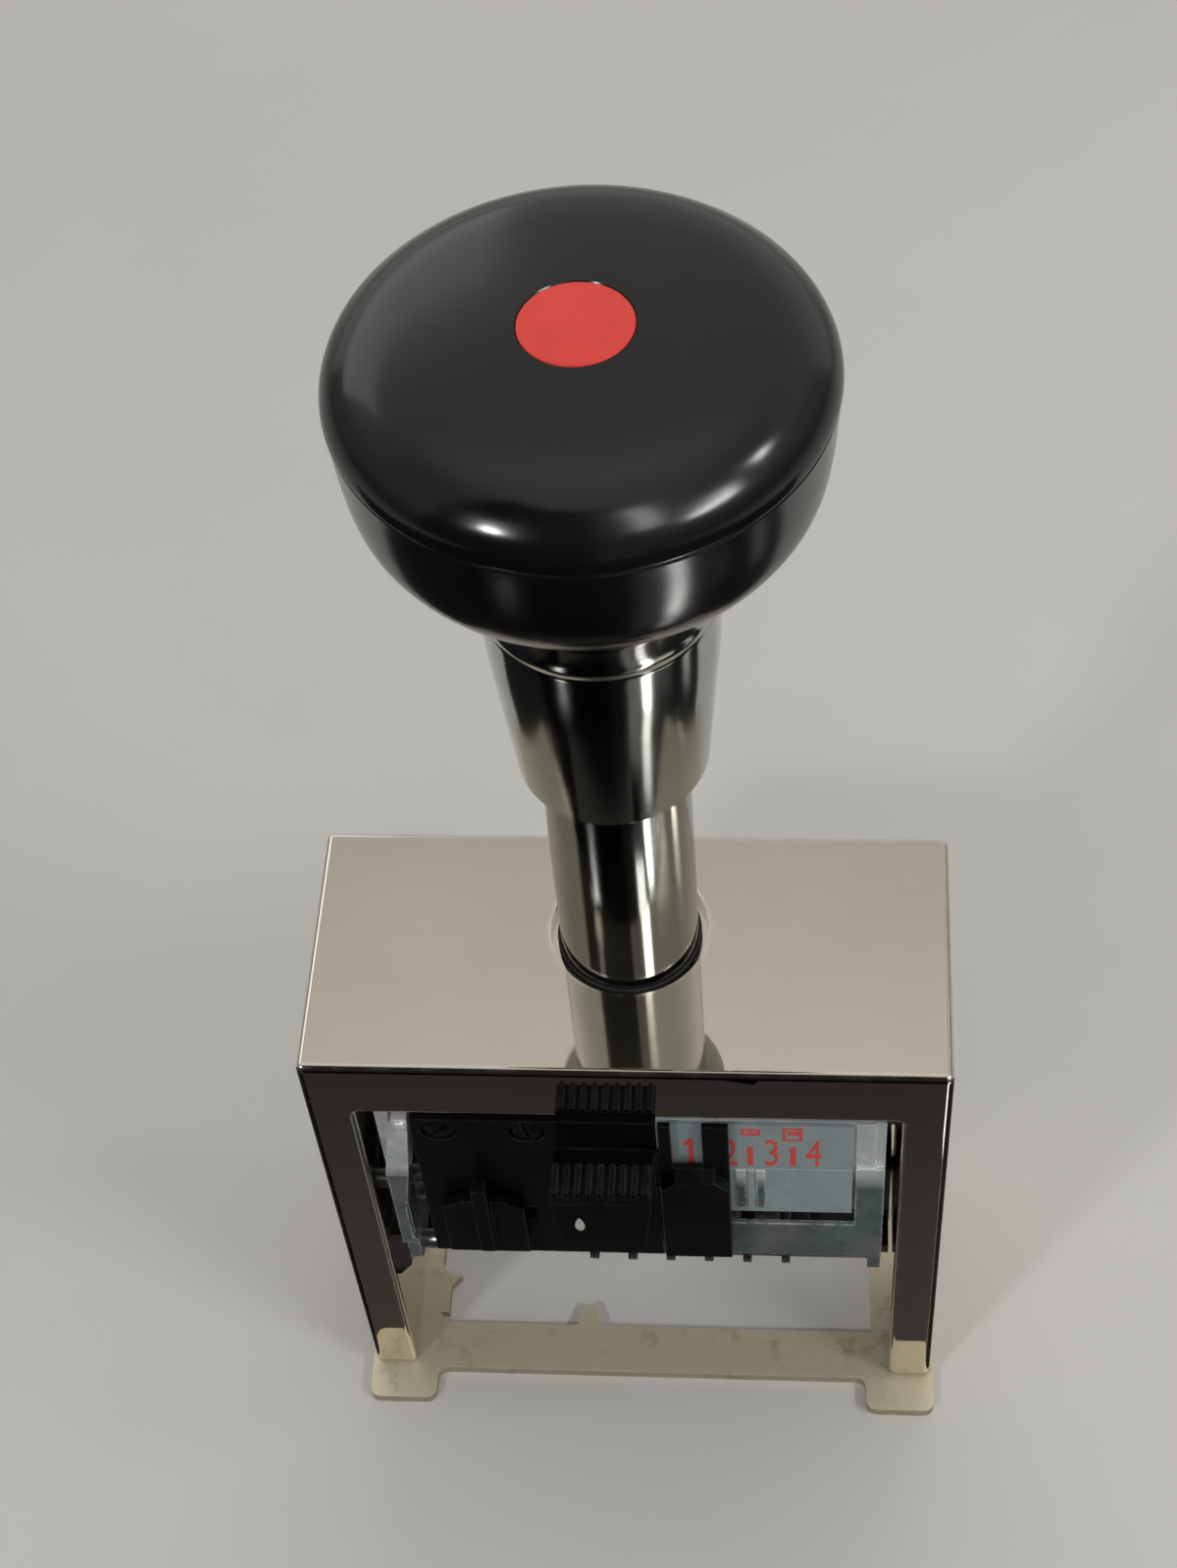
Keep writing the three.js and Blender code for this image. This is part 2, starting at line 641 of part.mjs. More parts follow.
function returnSpring() {
  const low = BUSH_TOP + WIRE_R + CLEAR;
  const high = CEILING - SPRING_WASHER - WIRE_R - CLEAR;
  const steps = SPRING_TURNS * SPRING_STEPS;
  const pitch = (high - low - 2 * END_PITCH) / (SPRING_TURNS - 2);
  const heightAt = (turn) => {
    if (turn < 1) return low + END_PITCH * turn;
    if (turn > SPRING_TURNS - 1) return high - END_PITCH * (SPRING_TURNS - turn);
    return low + END_PITCH + pitch * (turn - 1);
  };
  const centre = (i) => {
    const turn = i / SPRING_STEPS;
    const angle = 2 * Math.PI * turn;
    return new THREE.Vector3(
      SPRING_R * Math.cos(angle), AXIS_Y + SPRING_R * Math.sin(angle), heightAt(turn));
  };
  const positions = [];
  const index = [];
  for (let i = 0; i <= steps; i++) {
    const at = centre(i);
    const outward = new THREE.Vector3(at.x, at.y - AXIS_Y, 0).normalize();
    for (let k = 0; k < WIRE_SIDES; k++) {
      const turn = (2 * Math.PI * k) / WIRE_SIDES;
      const p = at.clone().addScaledVector(outward, WIRE_R * Math.cos(turn));
      positions.push(p.x, p.y, p.z + WIRE_R * Math.sin(turn));
    }
  }
  for (let i = 0; i < steps; i++) {
    for (let k = 0; k < WIRE_SIDES; k++) {
      const a = i * WIRE_SIDES + k;
      const b = i * WIRE_SIDES + ((k + 1) % WIRE_SIDES);
      index.push(a, a + WIRE_SIDES, b, b, a + WIRE_SIDES, b + WIRE_SIDES);
    }
  }
  for (let k = 1; k < WIRE_SIDES - 1; k++) {
    index.push(0, k, k + 1);
    const last = steps * WIRE_SIDES;
    index.push(last, last + k + 1, last + k);
  }
  const geometry = new THREE.BufferGeometry();
  geometry.setAttribute("position", new THREE.Float32BufferAttribute(positions, 3));
  geometry.setIndex(index);
  const solid = signedVolume(geometry) < 0 ? flipped(geometry) : geometry;
  solid.computeVertexNormals();
  let gap = Infinity;
  for (let i = 0; i <= steps; i++) {
    for (let j = i + SPRING_STEPS / 2; j <= steps; j++) {
      gap = Math.min(gap, centre(i).distanceTo(centre(j)) - 2 * WIRE_R);
    }
  }
  console.log(`return spring: least gap to itself ${gap.toFixed(2)} mm`);
  return solid;
}

// Head
function sideHoles(side) {
  const bar = onRing(RING_BAR_R, DETENT_ANGLE);
  const [x0, x1] = ends(side, SIDE_INNER - OVERRUN, SIDE_OUTER + OVERRUN);
  const spots = [
    [0, SHAFT_Z, SHAFT_R], [RAIL_Y, RAIL_Z, RAIL_R], [DRUM_Y, DRUM_Z, BAR_R], [bar.x, bar.y, BAR_R],
    ...plateScrewSpots().map(([y, z]) => [y, z, SCREW_R]),
  ];
  const holes = spots.map(([y, z, radius]) => rodX(x0, x1, y, z, radius + TURN_FIT));
  if (side < 0) {
    const arc = pinArc(SWING_PIN_RING, SWING_PIN_ANGLE, -COMB_SWING);
    holes.push(alongX(outline(slotAlong(arc, SWING_PIN_R + GROOVE_FIT)), x0, x1));
  }
  return holes;
}

function plateScrewSpots() {
  return SCREW_SPOTS_SHARES.map(([y, h]) => [SIDE_BACK * y, BRIDGE_BOTTOM + BRIDGE * h]);
}

function sidePlate(side) {
  const bar = onRing(RING_BAR_R, DETENT_ANGLE);
  const lobe = HUB_R + TURN_FIT;
  const low = Array.from({ length: SWEEP_STEPS }, (_, i) => onRing(SIDE_BOTTOM_R, -SWEEP_TURN * i));
  const back = onRing(SIDE_BOTTOM_R, 0);
  const points = [
    new THREE.Vector2(SIDE_BACK, BRIDGE_BOTTOM - BRIDGE),
    new THREE.Vector2(back.x, SHAFT_Z + SIDE_BOTTOM_R),
    ...low,
    new THREE.Vector2(bar.x + lobe / 2, bar.y - lobe),
    new THREE.Vector2(bar.x - lobe / 2, bar.y - lobe),
    new THREE.Vector2(bar.x - lobe, bar.y - lobe / 2),
    new THREE.Vector2(bar.x - lobe, FLANGE_BOTTOM),
    new THREE.Vector2(-SIDE_FRONT, FLANGE_BOTTOM),
    new THREE.Vector2(-SIDE_FRONT, BRIDGE_TOP),
    new THREE.Vector2(SIDE_BACK, BRIDGE_TOP),
  ];
  return cut(alongX(outline(points), ...ends(side, SIDE_INNER, SIDE_OUTER)), ...sideHoles(side));
}

// The left plate's front edge is folded in, narrower and stepped back below its bend
function leftSidePlate() {
  const left = -SIDE_OUTER;
  const right = FLANGE_STRIP + left;
  const waist = FLANGE_WAIST + left;
  const foot = FLANGE_FOOT + left;
  const bend = BRIDGE_TOP - FLANGE_BEND_DROP;
  const strip = alongY(outline([
    [left, FLANGE_BOTTOM], [foot, FLANGE_BOTTOM], [foot, FLANGE_BOTTOM + FLANGE_FOOT_HEIGHT / 2],
    [waist, FLANGE_BOTTOM + FLANGE_FOOT_HEIGHT], [waist, BRIDGE_TOP - FLANGE_WAIST_DROP],
    [FLANGE_BEND + left, bend], [right, BRIDGE_TOP - FLANGE_FOOT_HEIGHT], [right, BRIDGE_TOP],
    [FLANGE_NARROW + left, BRIDGE_TOP], [FLANGE_LEAN + left, BRIDGE_TOP - FLANGE_SLANT_DROP], [left, bend],
  ]), FACE_Y, FACE_BACK_Y);
  const relief = box(-SIDE_OUTER - OVERRUN, right + OVERRUN, FACE_Y - OVERRUN, FACE_Y + FLANGE_STEP / 2,
    FLANGE_BOTTOM - OVERRUN, bend);
  const [x, z] = flangeRivet();
  const hole = rodY(FACE_Y - OVERRUN, FACE_Y + OVERRUN, x, z, RIVET_R / 2 + TURN_FIT);
  return cut(join(sidePlate(-1), strip), relief, hole);
}

function flangeRivet() {
  return [FLANGE_STRIP - SIDE_OUTER - RIVET_R, BRIDGE_TOP - RIVET_DROP];
}

function rivet() {
  const [x, z] = flangeRivet();
  return join(
    rodY(FACE_Y - RIVET, FACE_Y, x, z, RIVET_R),
    rodY(FACE_Y, FACE_Y + SIDE_PLATE / 2, x, z, RIVET_R / 2),
  );
}

function headBridge() {
  const block = box(-SIDE_INNER, SIDE_INNER, -BRIDGE_FRONT, SIDE_BACK, BRIDGE_BOTTOM, BRIDGE_TOP);
  const hole = rodZ(BRIDGE_BOTTOM - OVERRUN, BRIDGE_TOP + OVERRUN, 0, AXIS_Y, ROD_R + TURN_FIT);
  const pin = rodY(-BRIDGE_FRONT - OVERRUN, SIDE_BACK + OVERRUN, 0, BRIDGE_MID, PIN_R + TURN_FIT);
  const depth = SCREW_BITE + CLEAR;
  const screws = plateScrewSpots().flatMap(([y, z]) => [-1, 1].map((side) => {
    const from = side < 0 ? -SIDE_INNER - OVERRUN : SIDE_INNER - depth;
    return rodX(from, from + depth + OVERRUN, y, z, SCREW_R + TURN_FIT);
  }));
  const front = coverScrewSpots().map(([x, z]) =>
    rodY(-BRIDGE_FRONT - OVERRUN, -BRIDGE_FRONT + SCREW_BITE + CLEAR, x, z, SCREW_R + TURN_FIT));
  return cut(block, hole, pin, ...screws, ...front);
}

// The two ends of a run beside the middle plane, low end first
function ends(side, inner, outer) {
  return side < 0 ? [-outer, -inner] : [inner, outer];
}

function plateScrew(side, [y, z]) {
  return join(
    rodX(...ends(side, SIDE_OUTER, SIDE_OUTER + SCREW_HEAD), y, z, SCREW_HEAD_R),
    rodX(...ends(side, SIDE_INNER - SCREW_BITE, SIDE_OUTER), y, z, SCREW_R),
  );
}

function wheelShaft() {
  return rodX(-PAD_ARM_OUTER, PAD_ARM_OUTER, 0, SHAFT_Z, SHAFT_R);
}

function spacer(x0, x1) {
  return rodX(x0, x1, 0, SHAFT_Z, SPACER_R, SHAFT_R + TURN_FIT);
}

function coverScrewSpots() {
  const left = COVER_LEFT + COVER_SCREW_INSET;
  return [[left, BRIDGE_MID], [left + COVER_SCREW_APART, BRIDGE_MID]];
}

function frontCover() {
  const plate = box(COVER_LEFT, COVER_RIGHT, FACE_Y, FACE_BACK_Y, COVER_BOTTOM, BRIDGE_TOP);
  const top = box(COVER_LEFT, COVER_RIGHT, FACE_BACK_Y - FACE / 2, -BRIDGE_FRONT, BRIDGE_BOTTOM, BRIDGE_TOP);
  const slotLeft = zeroTongueLeft() - CLEAR;
  const slot = box(slotLeft, slotLeft + ZERO_TONGUE + ZERO_TRAVEL + 2 * CLEAR, FACE_Y - OVERRUN,
    FACE_BACK_Y + OVERRUN, SLOT_BOTTOM, SLOT_TOP);
  const screws = coverScrewSpots().flatMap(([x, z]) => [
    rodY(FACE_Y - OVERRUN, -BRIDGE_FRONT + OVERRUN, x, z, SCREW_R + TURN_FIT),
    rodY(FACE_Y - OVERRUN, FACE_Y + SCREW_HEAD, x, z, SCREW_HEAD_R + TURN_FIT),
  ]);
  return cut(join(plate, top), slot, ...screws);
}

function coverScrew([x, z]) {
  return join(
    rodY(FACE_Y, FACE_Y + SCREW_HEAD, x, z, SCREW_HEAD_R),
    rodY(FACE_Y + SCREW_HEAD, -BRIDGE_FRONT + SCREW_BITE, x, z, SCREW_R),
  );
}

// The right plate's front edge is folded in as a wide apron that carries the scale
function rightSidePlate() {
  const left = SCALE_LEFT;
  const right = SIDE_OUTER;
  const edge = SCALE_RIGHT + CLEAR;
  const seat = FACE_Y + SCALE_PLATE;
  const step = (SCALE_BOTTOM + BRIDGE_TOP + FLANGE_STEP) / 2;
  const apron = box(left, right, seat, FACE_BACK_Y, SLOT_TOP, BRIDGE_TOP);
  const strip = box(edge, right, FACE_Y, FACE_BACK_Y, BRACKET_BOTTOM, step);
  const upper = box(edge, right - FLANGE_LEAN, FACE_Y + FLANGE_STEP / 2, FACE_BACK_Y, step, BRIDGE_TOP);
  const lowBar = box(left, right, FACE_Y, seat, BRACKET_BOTTOM, SLOT_BOTTOM);
  return join(sidePlate(1), apron, strip, upper, lowBar);
}

function scalePlate() {
  return box(SCALE_LEFT, SCALE_RIGHT, FACE_Y, FACE_Y + SCALE_PLATE, SCALE_BOTTOM, BRIDGE_TOP);
}

function selectorRail() {
  return rodX(-SIDE_OUTER, SIDE_OUTER, RAIL_Y, RAIL_Z, RAIL_R);
}

function detentShaft() {
  const bar = onRing(RING_BAR_R, DETENT_ANGLE);
  return rodX(-SIDE_OUTER, SIDE_OUTER, bar.x, bar.y, BAR_R);
}

function camShaft() {
  return rodX(-SIDE_OUTER, SIDE_OUTER, DRUM_Y, DRUM_Z, BAR_R);
}

// A finger that hangs on a bar and reaches in to the ratchet of its wheel
function fingerBody(degrees, x) {
  const hub = onRing(RING_BAR_R, degrees);
  const reach = RATCHET_R + CLEAR;
  const blade = [
    onRing(reach, degrees + FINGER_LEAN), onRing(reach, degrees + FINGER_LEAN + FINGER_TIP_TURN),
    onRing(RING_BAR_R, degrees + FINGER_LEAN), onRing(RING_BAR_R - HUB_R / 2, degrees - FINGER_LEAN),
  ];
  return join(alongX(outline(blade), x, x + FINGER), rodX(x, x + FINGER, hub.x, hub.y, HUB_R));
}

function barHole(degrees) {
  const hub = onRing(RING_BAR_R, degrees);
  return rodX(-SIDE_OUTER, SIDE_OUTER, hub.x, hub.y, BAR_R + TURN_FIT);
}

function fingerLeft(i) {
  return BANK_LEFT + i * WHEEL_PITCH + TYPE_WIDTH + (RATCHET_WIDTH - FINGER) / 2;
}

function detentPawl(i) {
  return cut(fingerBody(DETENT_ANGLE, fingerLeft(i)), barHole(DETENT_ANGLE));
}

// One comb of six fingers on the swing's bar
function drivePawl() {
  const hub = onRing(RING_BAR_R, COMB_ANGLE);
  const comb = Array.from({ length: WHEELS }, (_, i) => fingerBody(COMB_ANGLE, fingerLeft(i)));
  const tube = rodX(fingerLeft(0), fingerLeft(WHEELS - 1) + FINGER, hub.x, hub.y, COMB_HUB_R);
  return cut(join(tube, ...comb), barHole(COMB_ANGLE));
}

// Number wheel: ten type blocks beside a ten-tooth ratchet
function numberWheel(i) {
  const x0 = BANK_LEFT + i * WHEEL_PITCH;
  const step = 360 / FIGURES;
  const half = THREE.MathUtils.radToDeg(Math.asin(TYPE_HEIGHT / 2 / TYPE_R));
  const bore = round(0, SHAFT_Z, SHAFT_R + TURN_FIT, SMALL_SIDES);
  const type = [];
  const ratchet = [];
  for (let k = 0; k < FIGURES; k++) {
    const at = PRINT_ANGLE + k * step;
    type.push(onRing(TYPE_ROOT_R, at - half), onRing(TYPE_R, at - half), onRing(TYPE_R, at));
    type.push(onRing(TYPE_R, at + half), onRing(TYPE_ROOT_R, at + half));
    ratchet.push(onRing(RATCHET_R, at), onRing(RATCHET_ROOT_R, at + 1));
    ratchet.push(onRing(RATCHET_ROOT_R, at + step / 2));
  }
  return join(
    alongX(outline(type, [bore]), x0, x0 + TYPE_WIDTH),
    alongX(outline(ratchet, [bore]), x0 + TYPE_WIDTH, x0 + WHEEL_WIDTH),
  );
}

// Swing that drives the wheels on
function swingArm(x0, x1, pinned) {
  const bar = onRing(RING_BAR_R, COMB_ANGLE);
  const arms = [
    rodX(x0, x1, 0, SHAFT_Z, SPACER_R),
    alongX(outline(slotAlong([onRing(0, 0), bar], ARM_HALF)), x0, x1),
  ];
  if (pinned) {
    const pin = onRing(SWING_PIN_RING, SWING_PIN_ANGLE);
    arms.push(alongX(outline(slotAlong([onRing(0, 0), pin], ARM_HALF)), x0, x1));
  }
  return cut(join(...arms), rodX(x0 - OVERRUN, x1 + OVERRUN, 0, SHAFT_Z, SHAFT_R + TURN_FIT));
}

function swingFrame() {
  const bar = onRing(RING_BAR_R, COMB_ANGLE);
  return join(
    swingArm(SWING_LEFT, SWING_LEFT + SWING_ARM, true),
    swingArm(SWING_RIGHT, SWING_RIGHT + SWING_ARM, false),
    rodX(SWING_LEFT, SWING_RIGHT + SWING_ARM, bar.x, bar.y, BAR_R),
    rodX(-PIN_END, SWING_LEFT, ...onRing(SWING_PIN_RING, SWING_PIN_ANGLE).toArray(), SWING_PIN_R),
  );
}

// Ink pad carrier
function padSpan() {
  return [BANK_LEFT - PAD_MARGIN, BANK_RIGHT + PAD_MARGIN];
}

function padCarrier() {
  const floor = SHAFT_Z - TRAY_BELOW;
  const half = PAD_DEPTH / 2 + TRAY_LIP;
  const arms = [-1, 1].map((side) => {
    const [x0, x1] = ends(side, PAD_ARM_INNER, PAD_ARM_OUTER);
    const low = new THREE.Vector2(0, floor + PAD_ARM_HALF);
    const blade = alongX(outline(slotAlong([onRing(0, 0), low], PAD_ARM_HALF)), x0, x1);
    const foot = box(x0, x1, -half, half, floor, floor + TRAY_FLOOR);
    return cut(join(blade, foot), rodX(x0 - OVERRUN, x1 + OVERRUN, 0, SHAFT_Z, SHAFT_R + TURN_FIT),
      rodX(x0 - OVERRUN, x1 + OVERRUN, ...onRing(CAM_PIN_RING, CAM_PIN_ANGLE).toArray(),
        CAM_PIN_R + TURN_FIT));
  });
  const [left, right] = padSpan();
  const bar = box(-PAD_ARM_OUTER, PAD_ARM_OUTER, -half, half, floor, floor + TRAY_FLOOR);
  const rim = box(left - TRAY_LIP, right + TRAY_LIP, -half, half, floor, floor + TRAY_WALL);
  const well = box(left, right, -PAD_DEPTH / 2, PAD_DEPTH / 2,
    floor + TRAY_FLOOR, floor + TRAY_WALL + OVERRUN);
  return cut(join(...arms, bar, rim), well);
}

function inkPad() {
  const [left, right] = padSpan();
  const inset = CLEAR / 2;
  return box(left + inset, right - inset, -PAD_DEPTH / 2 + inset, PAD_DEPTH / 2 - inset,
    SHAFT_Z - TRAY_BELOW + TRAY_FLOOR, SHAFT_Z - TYPE_R - CLEAR);
}

function camPin(side) {
  const at = onRing(CAM_PIN_RING, CAM_PIN_ANGLE).toArray();
  return rodX(...ends(side, PAD_ARM_INNER, PIN_END), ...at, CAM_PIN_R);
}

// Selector: a thin plate with an open window, a raised block under it and a ribbed thumb block
function selectorSlide() {
  const inner = SLIDE_BACK_Y - SLIDE_FACE / 2;
  const face = SLIDE_BACK_Y - SLIDE_FACE;
  const plate = alongY(outline([
    [SLIDE_POST, SLIDE_BOTTOM], [SLIDE_RIGHT, SLIDE_BOTTOM], [SLIDE_RIGHT, SLIDE_TOP],
    [SLIDE_WINDOW_RIGHT, SLIDE_TOP], [SLIDE_WINDOW_RIGHT, SLIDE_WINDOW_BOTTOM],
    [SLIDE_WINDOW_LEFT, SLIDE_WINDOW_BOTTOM], [SLIDE_WINDOW_LEFT, SLIDE_TOP],
    [SLIDE_POST, SLIDE_TOP], [SLIDE_POST, SLIDE_WING_TOP], [SLIDE_LEFT, SLIDE_WING_TOP],
    [SLIDE_LEFT, THUMB_BOTTOM], [SLIDE_POST, THUMB_BOTTOM],
  ]), face, SLIDE_BACK_Y);
  const tongue = box(SLIDE_POST + CLEAR, SLIDE_RIGHT - CLEAR, inner, FACE_BACK_Y + CLEAR,
    SLOT_BOTTOM + CLEAR / 2, SLOT_TOP - CLEAR / 2);
  return join(plate, slideBlock(inner, face), thumbBlock(inner), tongue, ...thumbRibs());
}

// The block slopes up to the window's sill and has sloped shoulders
function slideBlock(inner, face) {
  const front = SLIDE_BACK_Y - SLIDE_BLOCK;
  const slope = face - front;
  const block = alongX(outline([
    [inner, SLIDE_BOTTOM], [inner, SLIDE_WINDOW_BOTTOM], [face, SLIDE_WINDOW_BOTTOM],
    [front, SLIDE_WINDOW_BOTTOM - slope], [front, SLIDE_BOTTOM],
  ]), SLIDE_POST, SLIDE_RIGHT);
  const s = SLIDE_SHOULDER;
  const shoulders = [[SLIDE_POST, 1], [SLIDE_RIGHT, -1]].map(([x, side]) => alongY(outline([
    [x - side * OVERRUN, SLIDE_WINDOW_BOTTOM + OVERRUN],
    [x - side * OVERRUN, SLIDE_WINDOW_BOTTOM - slope - s],
    [x, SLIDE_WINDOW_BOTTOM - slope - s], [x + side * s, SLIDE_WINDOW_BOTTOM - slope],
    [x + side * s, SLIDE_WINDOW_BOTTOM + OVERRUN],
  ]), front - OVERRUN, face));
  return cut(block, ...shoulders);
}

// The thumb block narrows downwards and slopes back to the wing behind it
function thumbBlock(inner) {
  const top = THUMB_TOP - RIB_HEIGHT;
  const front = -THUMB_FRONT;
  const right = SLIDE_LEFT + RIB_PITCH * RIB_COUNT;
  const block = alongX(outline([
    [inner, THUMB_BOTTOM], [inner, SLIDE_WING_TOP], [-THUMB_BACK, top],
    [front + THUMB_CHAMFER, top], [front, top - THUMB_CHAMFER], [front, THUMB_BOTTOM + THUMB_CHAMFER],
    [front + THUMB_CHAMFER, THUMB_BOTTOM],
  ]), SLIDE_LEFT, right);
  const drafts = [[SLIDE_LEFT, 1], [right, -1]].map(([x, side]) => alongY(outline([
    [x - side * OVERRUN, top - THUMB_CHAMFER], [x - side * OVERRUN, THUMB_BOTTOM - OVERRUN],
    [x + side * (THUMB_DRAFT + THUMB_CHAMFER), THUMB_BOTTOM - OVERRUN],
    [x + side * (THUMB_DRAFT + THUMB_CHAMFER), THUMB_BOTTOM],
    [x + side * THUMB_DRAFT, THUMB_BOTTOM + THUMB_CHAMFER], [x, top - THUMB_CHAMFER],
  ]), front - OVERRUN, SLIDE_BACK_Y - SLIDE_BLOCK));
  return cut(block, ...drafts);
}

function thumbRibs() {
  return Array.from({ length: RIB_COUNT }, (_, i) => {
    const x = SLIDE_LEFT + RIB_PITCH * (i + 0.5) - RIB_WIDTH / 2;
    const y = THUMB_CHAMFER / 2 - THUMB_FRONT;
    return box(x, x + RIB_WIDTH, y, y + RIB_LENGTH, THUMB_TOP - 2 * RIB_HEIGHT, THUMB_TOP);
  });
}

function selectorShoe() {
  const back = FACE_BACK_Y + CLEAR;
  const left = SLIDE_POST + CLEAR;
  const right = SLIDE_RIGHT - CLEAR;
  const block = box(left, right, back, back + SHOE_DEPTH, SLOT_BOTTOM, SHOE_TOP);
  const mid = (left + right) / 2;
  const nose = box(mid - FINGER, mid + FINGER, back, DRUM_Y - DRUM_R - CLEAR, SHOE_TOP - OVERRUN,
    DRUM_Z - FINGER);
  const stem = box(mid - FINGER, mid + FINGER, back + SHOE_DEPTH, DRUM_Y,
    SHOE_TOP - 2 * OVERRUN, DRUM_Z - 3 * FINGER);
  const rail = rodX(left - OVERRUN, right + OVERRUN, RAIL_Y, RAIL_Z, RAIL_R + SLIDE_FIT);
  return cut(join(block, nose), rail, stem);
}

// Drum whose four tracks set how often a number repeats
function repeatDrum() {
  const mid = (SLIDE_POST + SLIDE_RIGHT) / 2;
  const bore = round(DRUM_Y, DRUM_Z, BAR_R + TURN_FIT, SMALL_SIDES);
  const disc = (teeth, x0, x1) => {
    const points = [];
    for (let k = 0; k < DRUM_TEETH; k++) {
      const notch = k % teeth === 0;
      const turn = radians((360 / DRUM_TEETH) * k);
      const half = Math.PI / DRUM_TEETH;
      const low = notch ? DRUM_R - DRUM_TOOTH : DRUM_R;
      const tooth = [[DRUM_R, turn - half], [low, turn - half / 2], [low, turn], [DRUM_R, turn + half / 2]];
      for (const [r, a] of tooth) {
        points.push(new THREE.Vector2(DRUM_Y + r * Math.cos(a), DRUM_Z + r * Math.sin(a)));
      }
    }
    return alongX(outline(points, [bore]), x0, x1);
  };
  const end = mid + SCALE_STEPS * SCALE_STEP + TRACK / 2;
  const ratchet = mid - TRACK / 2 - DRUM_RATCHET_GAP;
  const core = rodX(ratchet, end, DRUM_Y, DRUM_Z, DRUM_CORE_R, BAR_R + TURN_FIT);
  const tracks = Array.from({ length: SCALE_STEPS + 1 }, (_, i) => {
    const x = mid + i * SCALE_STEP;
    return disc(i + 1, x - TRACK / 2, x + TRACK / 2);
  });
  return join(core, disc(1, ratchet, ratchet + TRACK), ...tracks);
}

// Thumb slide at the left of the cover
function zeroTongueLeft() {
  return (ZERO_LEFT + ZERO_RIGHT - ZERO_TONGUE) / 2;
}

function zeroSlide() {
  const s = ZERO_SHOULDER;
  const front = SLIDE_BACK_Y - ZERO_PLATE;
  const plate = alongY(outline([
    [ZERO_LEFT, ZERO_BOTTOM], [ZERO_RIGHT, ZERO_BOTTOM], [ZERO_RIGHT, ZERO_TOP - ZERO_SHOULDER_DROP],
    [ZERO_RIGHT - s, ZERO_TOP], [ZERO_LEFT + s, ZERO_TOP], [ZERO_LEFT, ZERO_TOP - ZERO_SHOULDER_DROP],
  ]), front, SLIDE_BACK_Y);
  const mid = (ZERO_LEFT + ZERO_RIGHT) / 2;
  const ridge = box(mid - ZERO_RIDGE_WIDTH / 2, mid + ZERO_RIDGE_WIDTH / 2, front - ZERO_RIDGE,
    front + ZERO_PLATE / 2, ZERO_BOTTOM + s, ZERO_TOP + ZERO_RIDGE_RISE);
  const left = zeroTongueLeft();
  const tongue = box(left, left + ZERO_TONGUE, SLIDE_BACK_Y - ZERO_PLATE / 2, FACE_BACK_Y + CLEAR / 2,
    SLOT_BOTTOM + CLEAR / 2, SLOT_TOP - CLEAR / 2);
  return join(plate, ridge, tongue);
}

function zeroKeeper() {
  const left = zeroTongueLeft() - ZERO_TONGUE / 2;
  const back = FACE_BACK_Y + CLEAR / 2;
  return box(left, left + 2 * ZERO_TONGUE, back, back + CLEAR * 2,
    SLOT_BOTTOM - ZERO_RIDGE, SLOT_TOP + CLEAR);
}

// The machine, its origin under the middle of its outline
const machine = new THREE.Group();
machine.position.y = (THUMB_FRONT - AXIS_Y - KNOB_R) / 2;

function add(name, geometry, material) {
  const mesh = new THREE.Mesh(geometry, material);
  mesh.name = name;
  machine.add(mesh);
}

add("frame", frame(), NICKEL);
add("base_plate", basePlate(), CREAM_NICKEL);
baseScrewSpots().forEach((spot, i) => add(`base_screw_${i + 1}`, baseScrew(spot), STEEL));
add("guide_tube", guideTube(), CHROME);
add("guide_bush", guideBush(), BRASS);
add("stop_washer", stopWasher(), RUBBER);
add("return_spring", returnSpring(), SPRING_STEEL);
add("knob", knob(), GLOSS_BLACK);
add("knob_dot", knobDot(), RED);
add("collar", collar(), CHROME);
add("plunger_rod", plungerRod(), STEEL);
add("rod_pin", rodPin(), STEEL);
add("spring_washer", springWasher(), STEEL);
add("head_bridge", headBridge(), STEEL);
add("left_side_plate", leftSidePlate(), ZINC);
add("right_side_plate", rightSidePlate(), ZINC);
plateScrewSpots().forEach((spot, i) => {
  add(`left_plate_screw_${i + 1}`, plateScrew(-1, spot), STEEL);
  add(`right_plate_screw_${i + 1}`, plateScrew(1, spot), STEEL);
});
add("flange_rivet", rivet(), STEEL);
add("wheel_shaft", wheelShaft(), STEEL);
add("left_spacer", spacer(SWING_LEFT + SWING_ARM + CLEAR, BANK_LEFT - CLEAR / 2), STEEL);
add("right_spacer", spacer(SWING_RIGHT + SWING_ARM + CLEAR, SIDE_INNER - CLEAR), STEEL);
add("front_cover", frontCover(), SATIN_BLACK);
coverScrewSpots().forEach((spot, i) => add(`cover_screw_${i + 1}`, coverScrew(spot), SATIN_BLACK));
add("scale_plate", scalePlate(), SCALE_GREY);
add("selector_rail", selectorRail(), STEEL);
add("detent_shaft", detentShaft(), STEEL);
for (let i = 0; i < WHEELS; i++) add(`detent_pawl_${i + 1}`, detentPawl(i), SPRING_STEEL);
add("cam_shaft", camShaft(), STEEL);
for (let i = 0; i < WHEELS; i++) add(`number_wheel_${i + 1}`, numberWheel(i), STEEL);
add("swing_frame", swingFrame(), STEEL);
add("drive_pawl", drivePawl(), SPRING_STEEL);
add("repeat_drum", repeatDrum(), BRASS);
add("pad_carrier", padCarrier(), SATIN_BLACK);
add("ink_pad", inkPad(), FELT);
add("left_cam_pin", camPin(-1), STEEL);
add("right_cam_pin", camPin(1), STEEL);
add("selector_slide", selectorSlide(), SATIN_BLACK);
add("selector_shoe", selectorShoe(), STEEL);
add("zero_slide", zeroSlide(), SATIN_BLACK);
add("zero_keeper", zeroKeeper(), STEEL);

export default machine;
